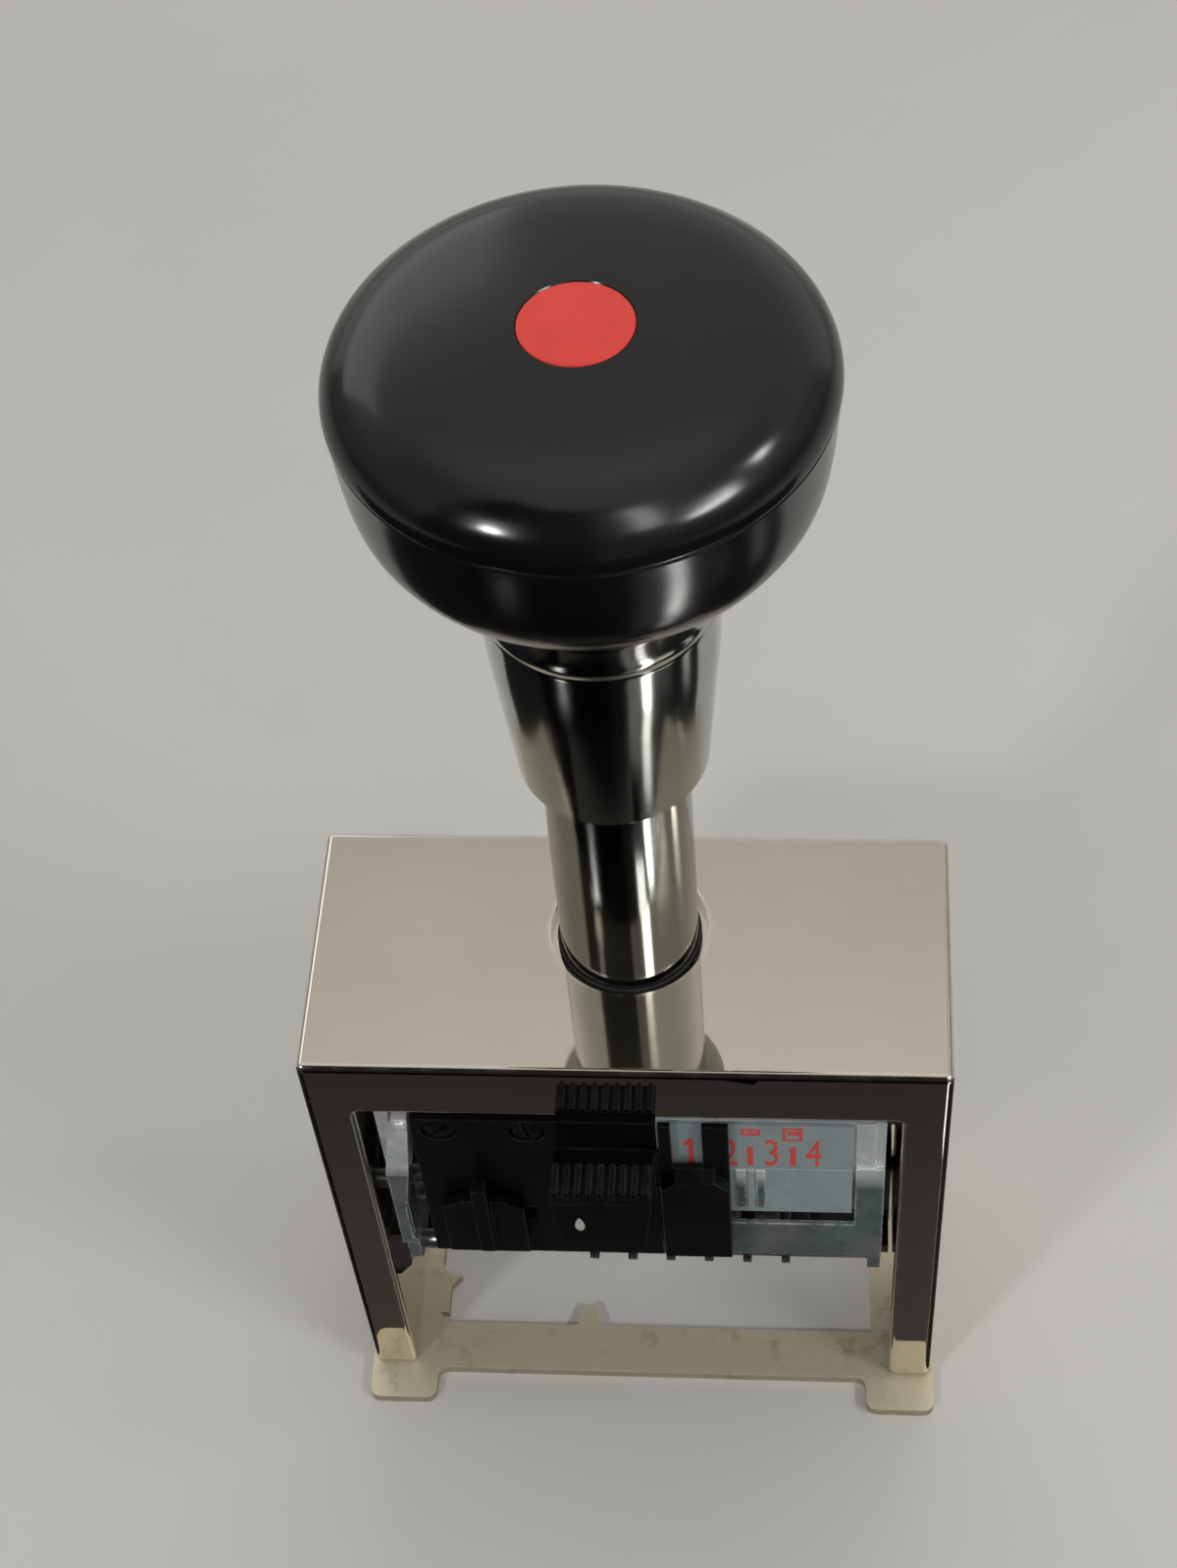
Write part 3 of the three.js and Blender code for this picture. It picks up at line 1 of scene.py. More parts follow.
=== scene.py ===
# %% [markdown]
# # A self-inking numbering machine
# A polished nickel U frame stands on a thin base plate. A black palm knob on
# a chromed collar pushes a head of six number wheels down through it. This
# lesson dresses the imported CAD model, piece by piece. The CAD says where each
# piece is and how it moves, and Blender gives it soft edges and a finish.

# %% Load the frame
import json
import math

import bmesh
import bpy
from mathutils import Matrix, Vector, noise


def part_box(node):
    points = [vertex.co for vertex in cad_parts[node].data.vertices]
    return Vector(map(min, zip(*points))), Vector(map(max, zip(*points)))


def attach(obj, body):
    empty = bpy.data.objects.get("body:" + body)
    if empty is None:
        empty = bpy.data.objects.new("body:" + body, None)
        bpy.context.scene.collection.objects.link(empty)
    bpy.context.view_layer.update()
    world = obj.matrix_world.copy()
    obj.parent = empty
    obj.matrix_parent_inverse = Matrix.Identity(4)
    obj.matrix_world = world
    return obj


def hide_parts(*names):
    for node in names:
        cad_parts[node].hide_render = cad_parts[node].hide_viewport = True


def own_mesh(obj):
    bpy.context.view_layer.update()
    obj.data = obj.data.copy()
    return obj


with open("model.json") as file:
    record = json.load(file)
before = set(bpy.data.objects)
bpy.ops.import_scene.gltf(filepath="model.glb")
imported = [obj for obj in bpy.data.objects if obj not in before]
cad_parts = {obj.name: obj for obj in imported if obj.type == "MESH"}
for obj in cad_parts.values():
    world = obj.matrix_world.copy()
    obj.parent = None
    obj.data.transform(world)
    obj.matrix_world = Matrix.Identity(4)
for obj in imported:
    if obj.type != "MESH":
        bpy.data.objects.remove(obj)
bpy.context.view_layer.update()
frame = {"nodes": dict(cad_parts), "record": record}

# %% [markdown]
# ## The camera
# The picture was taken by hand from above and in front, with the camera
# rolled a little. A camera can be placed by eye, or solved from edges whose
# real size is known. It was solved here: the frame's edges and the round
# knob, collar and tube give its place, its turn and its lens.

# %% Camera
MM = 0.001
CAMERA_AT = (20.46, -164.575, 323.68)
CAMERA_AZIMUTH = -7.985
CAMERA_DOWN = 53.017
CAMERA_ROLL = -5.897
LENS = 83.75
SENSOR = 36


def camera_axes(azimuth, down, roll):
    """The camera's right, up and backward directions."""
    a, d, r = (math.radians(v) for v in (azimuth, down, roll))
    forward = Vector((math.sin(a) * math.cos(d), math.cos(a) * math.cos(d), -math.sin(d)))
    level = forward.cross(Vector((0, 0, 1))).normalized()
    upright = level.cross(forward)
    right = math.cos(r) * level + math.sin(r) * upright
    up = -math.sin(r) * level + math.cos(r) * upright
    return right, up, -forward


lens_data = bpy.data.cameras.new("camera")
lens_data.sensor_fit = "HORIZONTAL"
lens_data.sensor_width = SENSOR
lens_data.lens = LENS
lens_data.clip_start = 0.01
camera = bpy.data.objects.new("camera", lens_data)
bpy.context.scene.collection.objects.link(camera)
turn = Matrix(camera_axes(CAMERA_AZIMUTH, CAMERA_DOWN, CAMERA_ROLL)).transposed()
camera.matrix_world = Matrix.Translation(Vector(CAMERA_AT) * MM) @ turn.to_4x4()
bpy.context.scene.camera = camera
print("camera at", [round(v, 4) for v in camera.location])

# %% [markdown]
# ## Working in the CAD's millimetres
# The drawing has its origin under the middle of the frame, and the packed
# model's origin is under the middle of its whole outline, 1.075 mm further
# forward. One matrix takes every new mesh from the drawing to the scene.

# %% From the drawing to the scene
SHIFT_Y = -1.075
TO_SCENE = Matrix.Translation((0, SHIFT_Y * MM, 0)) @ Matrix.Scale(MM, 4)
AXIS_Y = 3
BODY_OF = {
    node: body
    for body, nodes in frame["record"]["behaviour"]["bodies"].items()
    for node in nodes
}


def new_piece(name, bm):
    """A scene object from a bmesh drawn in millimetres."""
    bmesh.ops.recalc_face_normals(bm, faces=bm.faces)
    bmesh.ops.transform(bm, matrix=TO_SCENE, verts=bm.verts)
    mesh = bpy.data.meshes.new(name)
    bm.to_mesh(mesh)
    bm.free()
    piece = bpy.data.objects.new(name, mesh)
    bpy.context.scene.collection.objects.link(piece)
    return piece


def settle(piece):
    """Applies the piece's modifiers to its mesh."""
    graph = bpy.context.evaluated_depsgraph_get()
    done = bpy.data.meshes.new_from_object(piece.evaluated_get(graph))
    done.name = piece.name
    old = piece.data
    piece.modifiers.clear()
    piece.data = done
    bpy.data.meshes.remove(old)
    return piece


print("bodies:", ", ".join(sorted(set(BODY_OF.values()))))

# %% [markdown]
# ## Turned pieces
# Most of this machine came off a lathe: tube, collar, knob, shafts, washers.
# A turned piece is a profile swept round an axis. A Screw modifier could do
# it, but a few lines of mesh code give full control of the ring count, and a
# real corner is never quite sharp, so each corner of a profile gets a small
# radius that catches a line of light.

# %% Profiles and turning
FINE_STEPS = 128
SHAFT_STEPS = 48


def fillet(points, radius, steps=3, closed=True):
    """The same outline with its corners rounded."""
    result = []
    count = len(points)
    for i, point in enumerate(points):
        here = Vector(point)
        if not closed and i in (0, count - 1):
            result.append(tuple(here))
            continue
        before = Vector(points[i - 1]) - here
        after = Vector(points[(i + 1) % count]) - here
        if before.length < 1e-6 or after.length < 1e-6:
            continue
        angle = before.angle(after)
        if angle > math.radians(165) or angle < math.radians(5):
            result.append(tuple(here))
            continue
        reach = min(radius / math.tan(angle / 2), 0.45 * before.length, 0.45 * after.length)
        start = here + before.normalized() * reach
        end = here + after.normalized() * reach
        for k in range(steps + 1):
            t = k / steps
            curve = (1 - t) ** 2 * start + 2 * t * (1 - t) * here + t**2 * end
            result.append(tuple(curve))
    return result


def join_rings(bm, rings, closed=True):
    """Faces between each ring of vertices and the next. A ring of one vertex is a tip."""
    for ring, following in zip(rings, rings[1:]):
        count = max(len(ring), len(following))
        for k in range(count if closed else count - 1):
            n = (k + 1) % count
            if len(ring) == 1 and len(following) > 1:
                bm.faces.new((ring[0], following[n], following[k]))
            elif len(following) == 1 and len(ring) > 1:
                bm.faces.new((ring[k], ring[n], following[0]))
            elif count > 1:
                bm.faces.new((ring[k], ring[n], following[n], following[k]))


def smooth_below(piece, angle=40):
    """Shades a piece smooth but for edges sharper than an angle in degrees."""
    piece.data.shade_smooth()
    piece.data.set_sharp_from_angle(angle=math.radians(angle))
    return piece


def turned(name, profile, axis="Z", centre=(0, AXIS_Y), steps=FINE_STEPS):
    """Sweeps a closed profile of (radius, place along the axis) points round an axis."""
    bm = bmesh.new()
    rings = []
    for radius, along in profile:
        ring = []
        for k in range(1 if radius < 1e-6 else steps):
            angle = 2 * math.pi * k / steps
            u = centre[0] + radius * math.cos(angle)
            v = centre[1] + radius * math.sin(angle)
            place = {"X": (along, u, v), "Y": (u, along, v), "Z": (u, v, along)}[axis]
            ring.append(bm.verts.new(place))
        rings.append(ring)
    join_rings(bm, rings + rings[:1])
    return smooth_below(new_piece(name, bm))


def rod(name, x0, x1, y, z, radius, bore=0, chamfer=0.25, axis="X", steps=SHAFT_STEPS):
    """A turned rod or sleeve between two places on its axis, with broken edges."""
    profile = [(bore, x0), (radius, x0), (radius, x1), (bore, x1)]
    if bore:
        profile = fillet(profile, chamfer, 2)
    else:
        profile = [profile[0], *fillet(profile, chamfer, 2, False)[1:-1], profile[-1]]
    return turned(name, profile, axis, (y, z), steps)


print("a rounded square has", len(fillet([(0, 0), (1, 0), (1, 1), (0, 1)], 0.1)), "points")

# %% [markdown]
# ## Plates and blocks
# Flat pieces are outlines with a thickness, with holes cut through them. The
# exact boolean solver leaves clean edges, and a Bevel modifier then softens
# all that are sharper than a set angle. Weighted normals keep the flats flat
# under a mirror finish, which plain smooth shading doesn't.

# %% Outlines, cuts and soft edges
EDGE_ANGLE = 32


def add_prism(bm, low_end, high_end):
    """Adds a closed prism between two rows of places to a bmesh."""
    low, high = ([bm.verts.new(place) for place in end] for end in (low_end, high_end))
    bm.faces.new(low)
    bm.faces.new(high[::-1])
    for k in range(len(low)):
        n = (k + 1) % len(low)
        bm.faces.new((low[n], low[k], high[k], high[n]))
    return bm


def solid(name, outline, low, high, axis):
    """An outline extruded along an axis: X takes (y, z) points, Y (x, z), Z (x, y)."""
    at = "XYZ".index(axis)
    ends = ([(*point[:at], along, *point[at:]) for point in outline] for along in (low, high))
    return new_piece(name, add_prism(bmesh.new(), *ends))


def block(name, x0, x1, y0, y1, z0, z1):
    return solid(name, [(x0, y0), (x1, y0), (x1, y1), (x0, y1)], z0, z1, "Z")


def combine(piece, tools, operation):
    """Cuts the tools away from the piece, or joins them to it."""
    for tool in tools:
        step = piece.modifiers.new("combine", "BOOLEAN")
        step.operation = operation
        step.solver = "EXACT"
        step.object = tool
        settle(piece)
        bpy.data.objects.remove(tool)
    return piece


def soften(piece, width, segments=2):
    """Rounds the piece's sharp edges and keeps its flats flat."""
    bm = bmesh.new()
    bm.from_mesh(piece.data)
    bmesh.ops.remove_doubles(bm, verts=bm.verts, dist=2e-6)
    bmesh.ops.dissolve_limit(bm, angle_limit=math.radians(0.6), verts=bm.verts, edges=bm.edges)
    bm.to_mesh(piece.data)
    bm.free()
    piece.data.shade_smooth()
    bevel = piece.modifiers.new("edges", "BEVEL")
    bevel.width = width * MM
    bevel.segments = segments
    bevel.limit_method = "ANGLE"
    bevel.angle_limit = math.radians(EDGE_ANGLE)
    bevel.miter_outer = "MITER_ARC"
    flats = piece.modifiers.new("flats", "WEIGHTED_NORMAL")
    flats.weight = 90
    flats.keep_sharp = True
    return settle(piece)


def from_cad(node, width, segments=2):
    """A softened copy of a CAD node's own shape."""
    copy = frame["nodes"][node].data.copy()
    copy.materials.clear()
    piece = bpy.data.objects.new(node + "_made", copy)
    bpy.context.scene.collection.objects.link(piece)
    return soften(piece, width, segments)


print("edges sharper than", EDGE_ANGLE, "degrees are softened")

# %% [markdown]
# ## Shader tools
# Each finish below is one Principled shader fed by a few effects. An effect
# that several finishes share, such as smudges, hairline scratches or rubbed
# edges, is a node group: built once, and placed in each material with its own
# values. The groups put out masks only, and the shader stays in the material.

# %% Node helpers
def put(tree, kind, values=None, **options):
    """Adds a node and sets its options, then sets or links its inputs by name or number."""
    node = tree.nodes.new(kind)
    for key, value in options.items():
        setattr(node, key, value)
    for key, value in (values or {}).items():
        if isinstance(value, bpy.types.NodeSocket):
            tree.links.new(value, node.inputs[key])
        else:
            node.inputs[key].default_value = value
    return node


def effect_group(name, inputs, output):
    """An empty effect group with named inputs and one output. Returns it and its inputs."""
    tree = bpy.data.node_groups.new(name, "ShaderNodeTree")
    for label, value in inputs.items():
        socket = tree.interface.new_socket(label, in_out="INPUT", socket_type="NodeSocketFloat")
        socket.default_value = value
    tree.interface.new_socket(output, in_out="OUTPUT", socket_type="NodeSocketFloat")
    return tree, put(tree, "NodeGroupInput").outputs


def own_place(tree):
    """The place on the object, in its own coordinates."""
    return put(tree, "ShaderNodeTexCoord").outputs["Object"]


def math_node(tree, operation, a, b=0.5, clamp=False):
    """A Math node whose two values may be numbers or sockets."""
    return put(tree, "ShaderNodeMath", {0: a, 1: b}, operation=operation, use_clamp=clamp).outputs[0]


RANGE_SOCKETS = ("Value", "From Min", "From Max", "To Min", "To Max")


def ranged(tree, *values):
    """Maps a socket's range low..high to another, clamped: value, low, high, to_low, to_high."""
    return put(tree, "ShaderNodeMapRange", dict(zip(RANGE_SOCKETS, values))).outputs["Result"]


print("node helpers ready")

# %% [markdown]
# ## Shared effects
# Patches are soft clouds for smudges, stains and tone. Hairlines are thin
# stretched noise lines, the scratches of handling. Rubbed edges compare the
# surface's normal with a rounded one, so they show where a finger or a cloth
# wears a corner. On the nickel and the zinc the same edge mask also carries a
# painted highlight, the pale line that a lit rounded edge or bend shows. Grain
# is stretched noise for drawn or ground metal, and specks are the dust that
# every dark glossy thing shows.

# %% Patches and hairlines
patches, given = effect_group("patches", {"Scale": 80, "Seed": 0, "Low": 0.4, "High": 0.65}, "Mask")
cloud = put(patches, "ShaderNodeTexNoise", {
    "Vector": own_place(patches), "Scale": given["Scale"], "W": given["Seed"], "Detail": 5, "Roughness": 0.6,
}, noise_dimensions="4D")
spread = ranged(patches, cloud.outputs["Fac"], given["Low"], given["High"], 0, 1)
put(patches, "NodeGroupOutput", {"Mask": spread})

hairlines, given = effect_group("hairlines", {"Scale": 300, "Turn": 0.6, "Width": 0.006}, "Mask")
where = own_place(hairlines)
turned_to = put(hairlines, "ShaderNodeVectorRotate", {
    "Vector": where, "Axis": (1, 0.6, 0.8), "Angle": given["Turn"]}, rotation_type="AXIS_ANGLE")
stretched = put(hairlines, "ShaderNodeVectorMath", {
    0: turned_to.outputs[0], 1: (1, 0.03, 1)}, operation="MULTIPLY")
lines = put(hairlines, "ShaderNodeTexNoise", {
    "Vector": stretched.outputs[0], "Scale": given["Scale"], "Detail": 2})
level = math_node(hairlines, "ABSOLUTE", math_node(hairlines, "SUBTRACT", lines.outputs["Fac"], 0.5))
thin = ranged(hairlines, level, 0, given["Width"], 1, 0)
breaks = put(hairlines, "ShaderNodeTexNoise", {"Vector": where, "Scale": 160, "Detail": 1})
broken = ranged(hairlines, breaks.outputs["Fac"], 0.48, 0.62, 0, 1)
put(hairlines, "NodeGroupOutput", {"Mask": math_node(hairlines, "MULTIPLY", thin, broken)})
print("groups:", [g.name for g in bpy.data.node_groups])

# %% Rubbed edges, grain and specks
rubbed_and_highlight, given = effect_group("rubbed_and_highlight_edges", {"Radius": 0.0004, "Breaks": 500}, "Mask")
rounded = put(rubbed_and_highlight, "ShaderNodeBevel", {"Radius": given["Radius"]}, samples=4)
own = put(rubbed_and_highlight, "ShaderNodeNewGeometry")
agree = put(rubbed_and_highlight, "ShaderNodeVectorMath", {
    0: rounded.outputs[0], 1: own.outputs["Normal"]}, operation="DOT_PRODUCT")
edge = ranged(rubbed_and_highlight, agree.outputs["Value"], 0.995, 0.9, 0, 1)
ragged = put(rubbed_and_highlight, "ShaderNodeTexNoise", {
    "Vector": own_place(rubbed_and_highlight), "Scale": given["Breaks"], "Detail": 3})
kept = ranged(rubbed_and_highlight, ragged.outputs["Fac"], 0.35, 0.6, 0, 1)
put(rubbed_and_highlight, "NodeGroupOutput", {"Mask": math_node(rubbed_and_highlight, "MULTIPLY", edge, kept)})

grain, given = effect_group("grain", {"Scale": 900, "Along X": 1, "Along Y": 1, "Along Z": 1}, "Value")
pull = put(grain, "ShaderNodeCombineXYZ", {letter: given["Along " + letter] for letter in "XYZ"})
pulled = put(grain, "ShaderNodeVectorMath", {0: own_place(grain), 1: pull.outputs[0]}, operation="MULTIPLY")
fibre = put(grain, "ShaderNodeTexNoise", {
    "Vector": pulled.outputs[0], "Scale": given["Scale"], "Detail": 3, "Roughness": 0.55})
put(grain, "NodeGroupOutput", {"Value": fibre.outputs["Fac"]})

specks, given = effect_group("specks", {"Scale": 700, "Size": 0.12, "Share": 0.1}, "Mask")
cells = put(specks, "ShaderNodeTexVoronoi", {"Vector": own_place(specks), "Scale": given["Scale"]})
dot = math_node(specks, "LESS_THAN", cells.outputs["Distance"], given["Size"])
chance = put(specks, "ShaderNodeSeparateColor", {0: cells.outputs["Color"]})
chosen = math_node(specks, "LESS_THAN", chance.outputs[0], given["Share"])
put(specks, "NodeGroupOutput", {"Mask": math_node(specks, "MULTIPLY", dot, chosen)})
print("groups:", [g.name for g in bpy.data.node_groups])

# %% [markdown]
# ## How a finish is put together
# A finish mixes two or more tones by masks, sets the roughness from the same
# masks, and feeds a Bump node with a height. The small class below keeps the
# wiring short, so that each finish reads like a recipe.

# %% The recipe for a finish
GROUPS = {"patches": patches, "hairlines": hairlines, "rubbed_and_highlight": rubbed_and_highlight, "grain": grain, "specks": specks}


class Finish:
    """One material: a Principled shader and the effects that feed it."""

    def __init__(self, name, metallic=0.0, **sockets):
        self.name = name
        self.material = bpy.data.materials.new(name)
        self.material.use_nodes = True
        self.tree = self.material.node_tree
        self.shader = self.tree.nodes["Principled BSDF"]
        self.shader.inputs["Metallic"].default_value = metallic
        for label, value in sockets.items():
            self.shader.inputs[label.replace("_", " ")].default_value = value

    def effect(self, group, **values):
        values = {label.replace("_", " "): value for label, value in values.items()}
        return put(self.tree, "ShaderNodeGroup", values, node_tree=GROUPS[group]).outputs[0]

    def mix(self, mask, *colours):
        """A colour between two colours or sockets."""
        first, second = ((*c, 1) if isinstance(c, tuple) else c for c in colours)
        values = {"Factor": mask, 6: first, 7: second}
        return put(self.tree, "ShaderNodeMix", values, data_type="RGBA").outputs[2]

    def feed(self, socket, label):
        self.tree.links.new(socket, self.shader.inputs[label])

    def colour(self, mask, first, second):
        self.feed(self.mix(mask, first, second), "Base Color")

    def roughness(self, mask, smooth, rough):
        self.feed(ranged(self.tree, mask, 0, 1, smooth, rough), "Roughness")

    def above(self, low, high):
        """A mask that rises from 0 to 1 between two heights in millimetres."""
        split = put(self.tree, "ShaderNodeSeparateXYZ", {0: own_place(self.tree)})
        return ranged(self.tree, split.outputs["Z"], low * MM, high * MM, 0, 1)

    def add(self, *parts):
        """A sum of (socket, share) pairs."""
        total = None
        for socket, share in parts:
            term = math_node(self.tree, "MULTIPLY", socket, share)
            total = term if total is None else math_node(self.tree, "ADD", total, term)
        return total

    def bump(self, height, depth):
        """Relief of that depth in millimetres."""
        node = put(self.tree, "ShaderNodeBump", {"Strength": 1.0, "Distance": depth * MM, "Height": height})
        self.feed(node.outputs[0], "Normal")


def stands_for(piece, node, finish):
    """Gives a piece its finish and its body, and hides the CAD node it replaces."""
    piece.data.materials.clear()
    piece.data.materials.append(finish.material)
    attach(piece, BODY_OF[node])
    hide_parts(node)
    return piece


print("effects ready:", ", ".join(GROUPS))

# %% [markdown]
# ## Bright metal finishes
# The frame is polished nickel: a warm, slightly yellow mirror with the haze
# of handling. The tube and collar are chromed and turned, cooler and
# sharper. The base plate has the same nickel left dull, and it has gone
# cream and blotchy. Metal has no colour of its own apart from its
# reflections, so small changes of roughness matter more than tone.

# %% Polished nickel, dull nickel and chrome
nickel = Finish("polished_nickel", metallic=1.0)
haze = nickel.effect("patches", Scale=70, Low=0.35, High=0.75)
tone = nickel.effect("patches", Scale=35, Seed=3, Low=0.3, High=0.7)
marks = nickel.effect("hairlines", Scale=420, Turn=0.7, Width=0.004)
rub_and_highlight = nickel.effect("rubbed_and_highlight", Radius=0.0009, Breaks=300)
plate = nickel.mix(tone, (0.70, 0.645, 0.57), (0.655, 0.60, 0.52))
# Pale edges: partly rubbed wear and partly a painted highlight, the bright line of a lit, rounded edge.
nickel.colour(rub_and_highlight, plate, (0.92, 0.90, 0.86))
nickel.roughness(nickel.add((haze, 0.12), (marks, 0.1), (rub_and_highlight, 0.9)), 0.02, 0.4)
swell = nickel.effect("patches", Scale=45, Seed=8, Low=0, High=1)
nickel.bump(nickel.add((swell, 1.0), (marks, -0.02)), 0.01)

dull_nickel = Finish("cream_nickel", metallic=0.5)
stain = dull_nickel.effect("patches", Scale=120, Seed=2, Low=0.35, High=0.7)
brown = dull_nickel.effect("patches", Scale=300, Seed=5, Low=0.56, High=0.7)
rub_and_highlight = dull_nickel.effect("rubbed_and_highlight", Radius=0.0005)
cream = dull_nickel.mix(stain, (0.78, 0.71, 0.53), (0.66, 0.59, 0.43))
cream = dull_nickel.mix(brown, cream, (0.50, 0.445, 0.30))
dull_nickel.colour(rub_and_highlight, cream, (0.80, 0.76, 0.64))
dull_nickel.roughness(stain, 0.36, 0.5)
dull_nickel.bump(dull_nickel.effect("grain", Scale=2200), 0.005)

chrome = Finish("chrome", metallic=1.0)
tone = chrome.effect("patches", Scale=60, Seed=1)
lathe_lines = chrome.effect("grain", Scale=2600, Along_X=0.05, Along_Y=0.05)
marks = chrome.effect("hairlines", Scale=500, Turn=2.1, Width=0.003)
chrome.colour(tone, (0.44, 0.445, 0.415), (0.39, 0.395, 0.365))
chrome.roughness(chrome.add((tone, 0.35), (lathe_lines, 0.45), (marks, 0.3)), 0.08, 0.18)
chrome.bump(lathe_lines, 0.0004)
print("metal finishes:", nickel.material.name, dull_nickel.material.name, chrome.material.name)

# %% Ground steel, spring steel, brass
steel = Finish("bright_steel", metallic=1.0)
turning = steel.effect("grain", Scale=1500, Along_X=1.0, Along_Y=0.15, Along_Z=0.15)
oil = steel.effect("patches", Scale=250, Seed=4)
rub_and_highlight = steel.effect("rubbed_and_highlight", Radius=0.0003)
grey = steel.mix(oil, (0.52, 0.525, 0.53), (0.38, 0.385, 0.39))
steel.colour(rub_and_highlight, grey, (0.72, 0.72, 0.72))
steel.roughness(steel.add((turning, 0.6), (oil, 0.4)), 0.2, 0.42)
steel.bump(turning, 0.002)

spring_steel = Finish("spring_steel", metallic=1.0)
drawn = spring_steel.effect("grain", Scale=1800)
heat = spring_steel.effect("patches", Scale=300, Seed=6)
spring_steel.colour(heat, (0.42, 0.43, 0.45), (0.28, 0.27, 0.28))
spring_steel.roughness(drawn, 0.22, 0.42)
spring_steel.bump(drawn, 0.003)

brass = Finish("brass", metallic=1.0)
turning = brass.effect("grain", Scale=1500, Along_X=1.0, Along_Y=0.15, Along_Z=0.15)
tarnish = brass.effect("patches", Scale=260, Seed=7)
brass.colour(tarnish, (0.72, 0.50, 0.20), (0.47, 0.31, 0.12))
brass.roughness(brass.add((turning, 0.5), (tarnish, 0.5)), 0.2, 0.48)
brass.bump(turning, 0.002)
print("working metals ready")

# %% [markdown]
# ## Plated sheet
# The head's side plates are zinc plated. The plating is bluish and slightly
# mottled, with a crystal sparkle. Below the bend of the front edges its tone
# is dark, a painted shade for the faces that turn away from the light, with
# pinkish patches where the passivation is thick. The bend itself is pale,
# partly rubbed bright and partly a painted highlight along the bend. The
# scale is a satin grey strip with fine lengthwise grain.

# %% Zinc and the scale's satin grey
zinc = Finish("zinc_plate", metallic=0.4)
crystal = put(zinc.tree, "ShaderNodeTexVoronoi", {"Scale": 1300.0, "Vector": own_place(zinc.tree)})
sparkle = math_node(zinc.tree, "MULTIPLY", crystal.outputs["Distance"], 1.2, clamp=True)
cloudy = zinc.effect("patches", Scale=220, Seed=9, Low=0.4, High=0.6)
pink = zinc.effect("patches", Scale=110, Seed=12, Low=0.5, High=0.7)
rub_and_highlight = zinc.effect("rubbed_and_highlight", Radius=0.0004, Breaks=900)
sheet = zinc.mix(cloudy, (0.86, 0.90, 0.88), (0.60, 0.66, 0.68))
# Painted shade: a dark tone below the bend for the lower faces turned away from the light, with the pinkish
# passivation patches mixed in.
shaded_pink_low_sheet = zinc.mix(cloudy, (0.19, 0.245, 0.255), (0.12, 0.165, 0.175))
shaded_pink_low_sheet = zinc.mix(pink, shaded_pink_low_sheet, (0.27, 0.22, 0.23))
sheet = zinc.mix(zinc.above(48, 51), shaded_pink_low_sheet, sheet)
# Pale edges and bend: rubbed wear and a painted highlight along the bend.
zinc.colour(rub_and_highlight, sheet, (0.86, 0.88, 0.90))
zinc.roughness(zinc.add((cloudy, 0.5), (sparkle, 0.5)), 0.22, 0.48)
zinc.bump(zinc.add((sparkle, 1.0), (zinc.effect("grain", Scale=2400), 0.6)), 0.012)

scale_grey = Finish("scale_grey", metallic=0.3)
lines_along = scale_grey.effect("grain", Scale=2200, Along_X=0.06)
worn = scale_grey.effect("patches", Scale=300, Seed=13, Low=0.45, High=0.7)
marks = scale_grey.effect("hairlines", Scale=900, Turn=1.1, Width=0.01)
plate_tone = scale_grey.mix(worn, (0.42, 0.50, 0.53), (0.35, 0.43, 0.46))
scale_grey.colour(marks, plate_tone, (0.60, 0.68, 0.70))
scale_grey.roughness(scale_grey.add((lines_along, 0.6), (worn, 0.4)), 0.34, 0.55)
scale_grey.bump(lines_along, 0.003)
print("sheet finishes ready")

# %% [markdown]
# ## Black, red and soft finishes
# The knob is moulded in gloss black, with faint orange peel under the shine
# and a little dust on it. The cover, the slides and the pad carrier are
# blackened and satin, rubbed paler along their edges. The knob's insert is a
# flat red disc. The pad is felt soaked in dark ink.

# %% Blacks
gloss_black = Finish("gloss_black", Specular_IOR_Level=0.5)
wiped = gloss_black.effect("patches", Scale=55, Seed=14, Low=0.35, High=0.7)
dust = gloss_black.effect("specks", Scale=420, Size=0.05, Share=0.07)
peel = gloss_black.effect("grain", Scale=420)
moulded = gloss_black.mix(wiped, (0.0035, 0.0035, 0.004), (0.006, 0.006, 0.0065))
gloss_black.colour(dust, moulded, (0.12, 0.12, 0.115))
gloss_black.roughness(wiped, 0.15, 0.22)
gloss_black.bump(peel, 0.0012)

satin_black = Finish("satin_black", Specular_IOR_Level=0.22)
tooth = satin_black.effect("grain", Scale=2600)
faded = satin_black.effect("patches", Scale=160, Seed=15)
rub_and_highlight = satin_black.effect("rubbed_and_highlight", Radius=0.0003, Breaks=800)
dust = satin_black.effect("specks", Scale=1500, Size=0.14, Share=0.05)
black = satin_black.mix(faded, (0.0035, 0.0037, 0.004), (0.006, 0.0062, 0.0065))
black = satin_black.mix(dust, black, (0.03, 0.03, 0.029))
satin_black.colour(rub_and_highlight, black, (0.035, 0.035, 0.035))
satin_black.roughness(satin_black.add((tooth, 0.5), (faded, 0.5)), 0.26, 0.40)
satin_black.bump(tooth, 0.006)
print("black finishes ready")

# %% Red insert, paints, felt and rubber
red_insert = Finish("red_insert", Specular_IOR_Level=0.4)
faded = red_insert.effect("patches", Scale=260, Seed=16)
fine = red_insert.effect("grain", Scale=3000)
red_insert.colour(faded, (0.76, 0.050, 0.034), (0.69, 0.044, 0.031))
red_insert.roughness(fine, 0.42, 0.6)
red_insert.bump(fine, 0.004)

red_paint = Finish("red_paint")
thin_spots = red_paint.effect("grain", Scale=2600)
red_paint.colour(thin_spots, (0.84, 0.09, 0.065), (0.70, 0.072, 0.056))
red_paint.roughness(thin_spots, 0.4, 0.6)

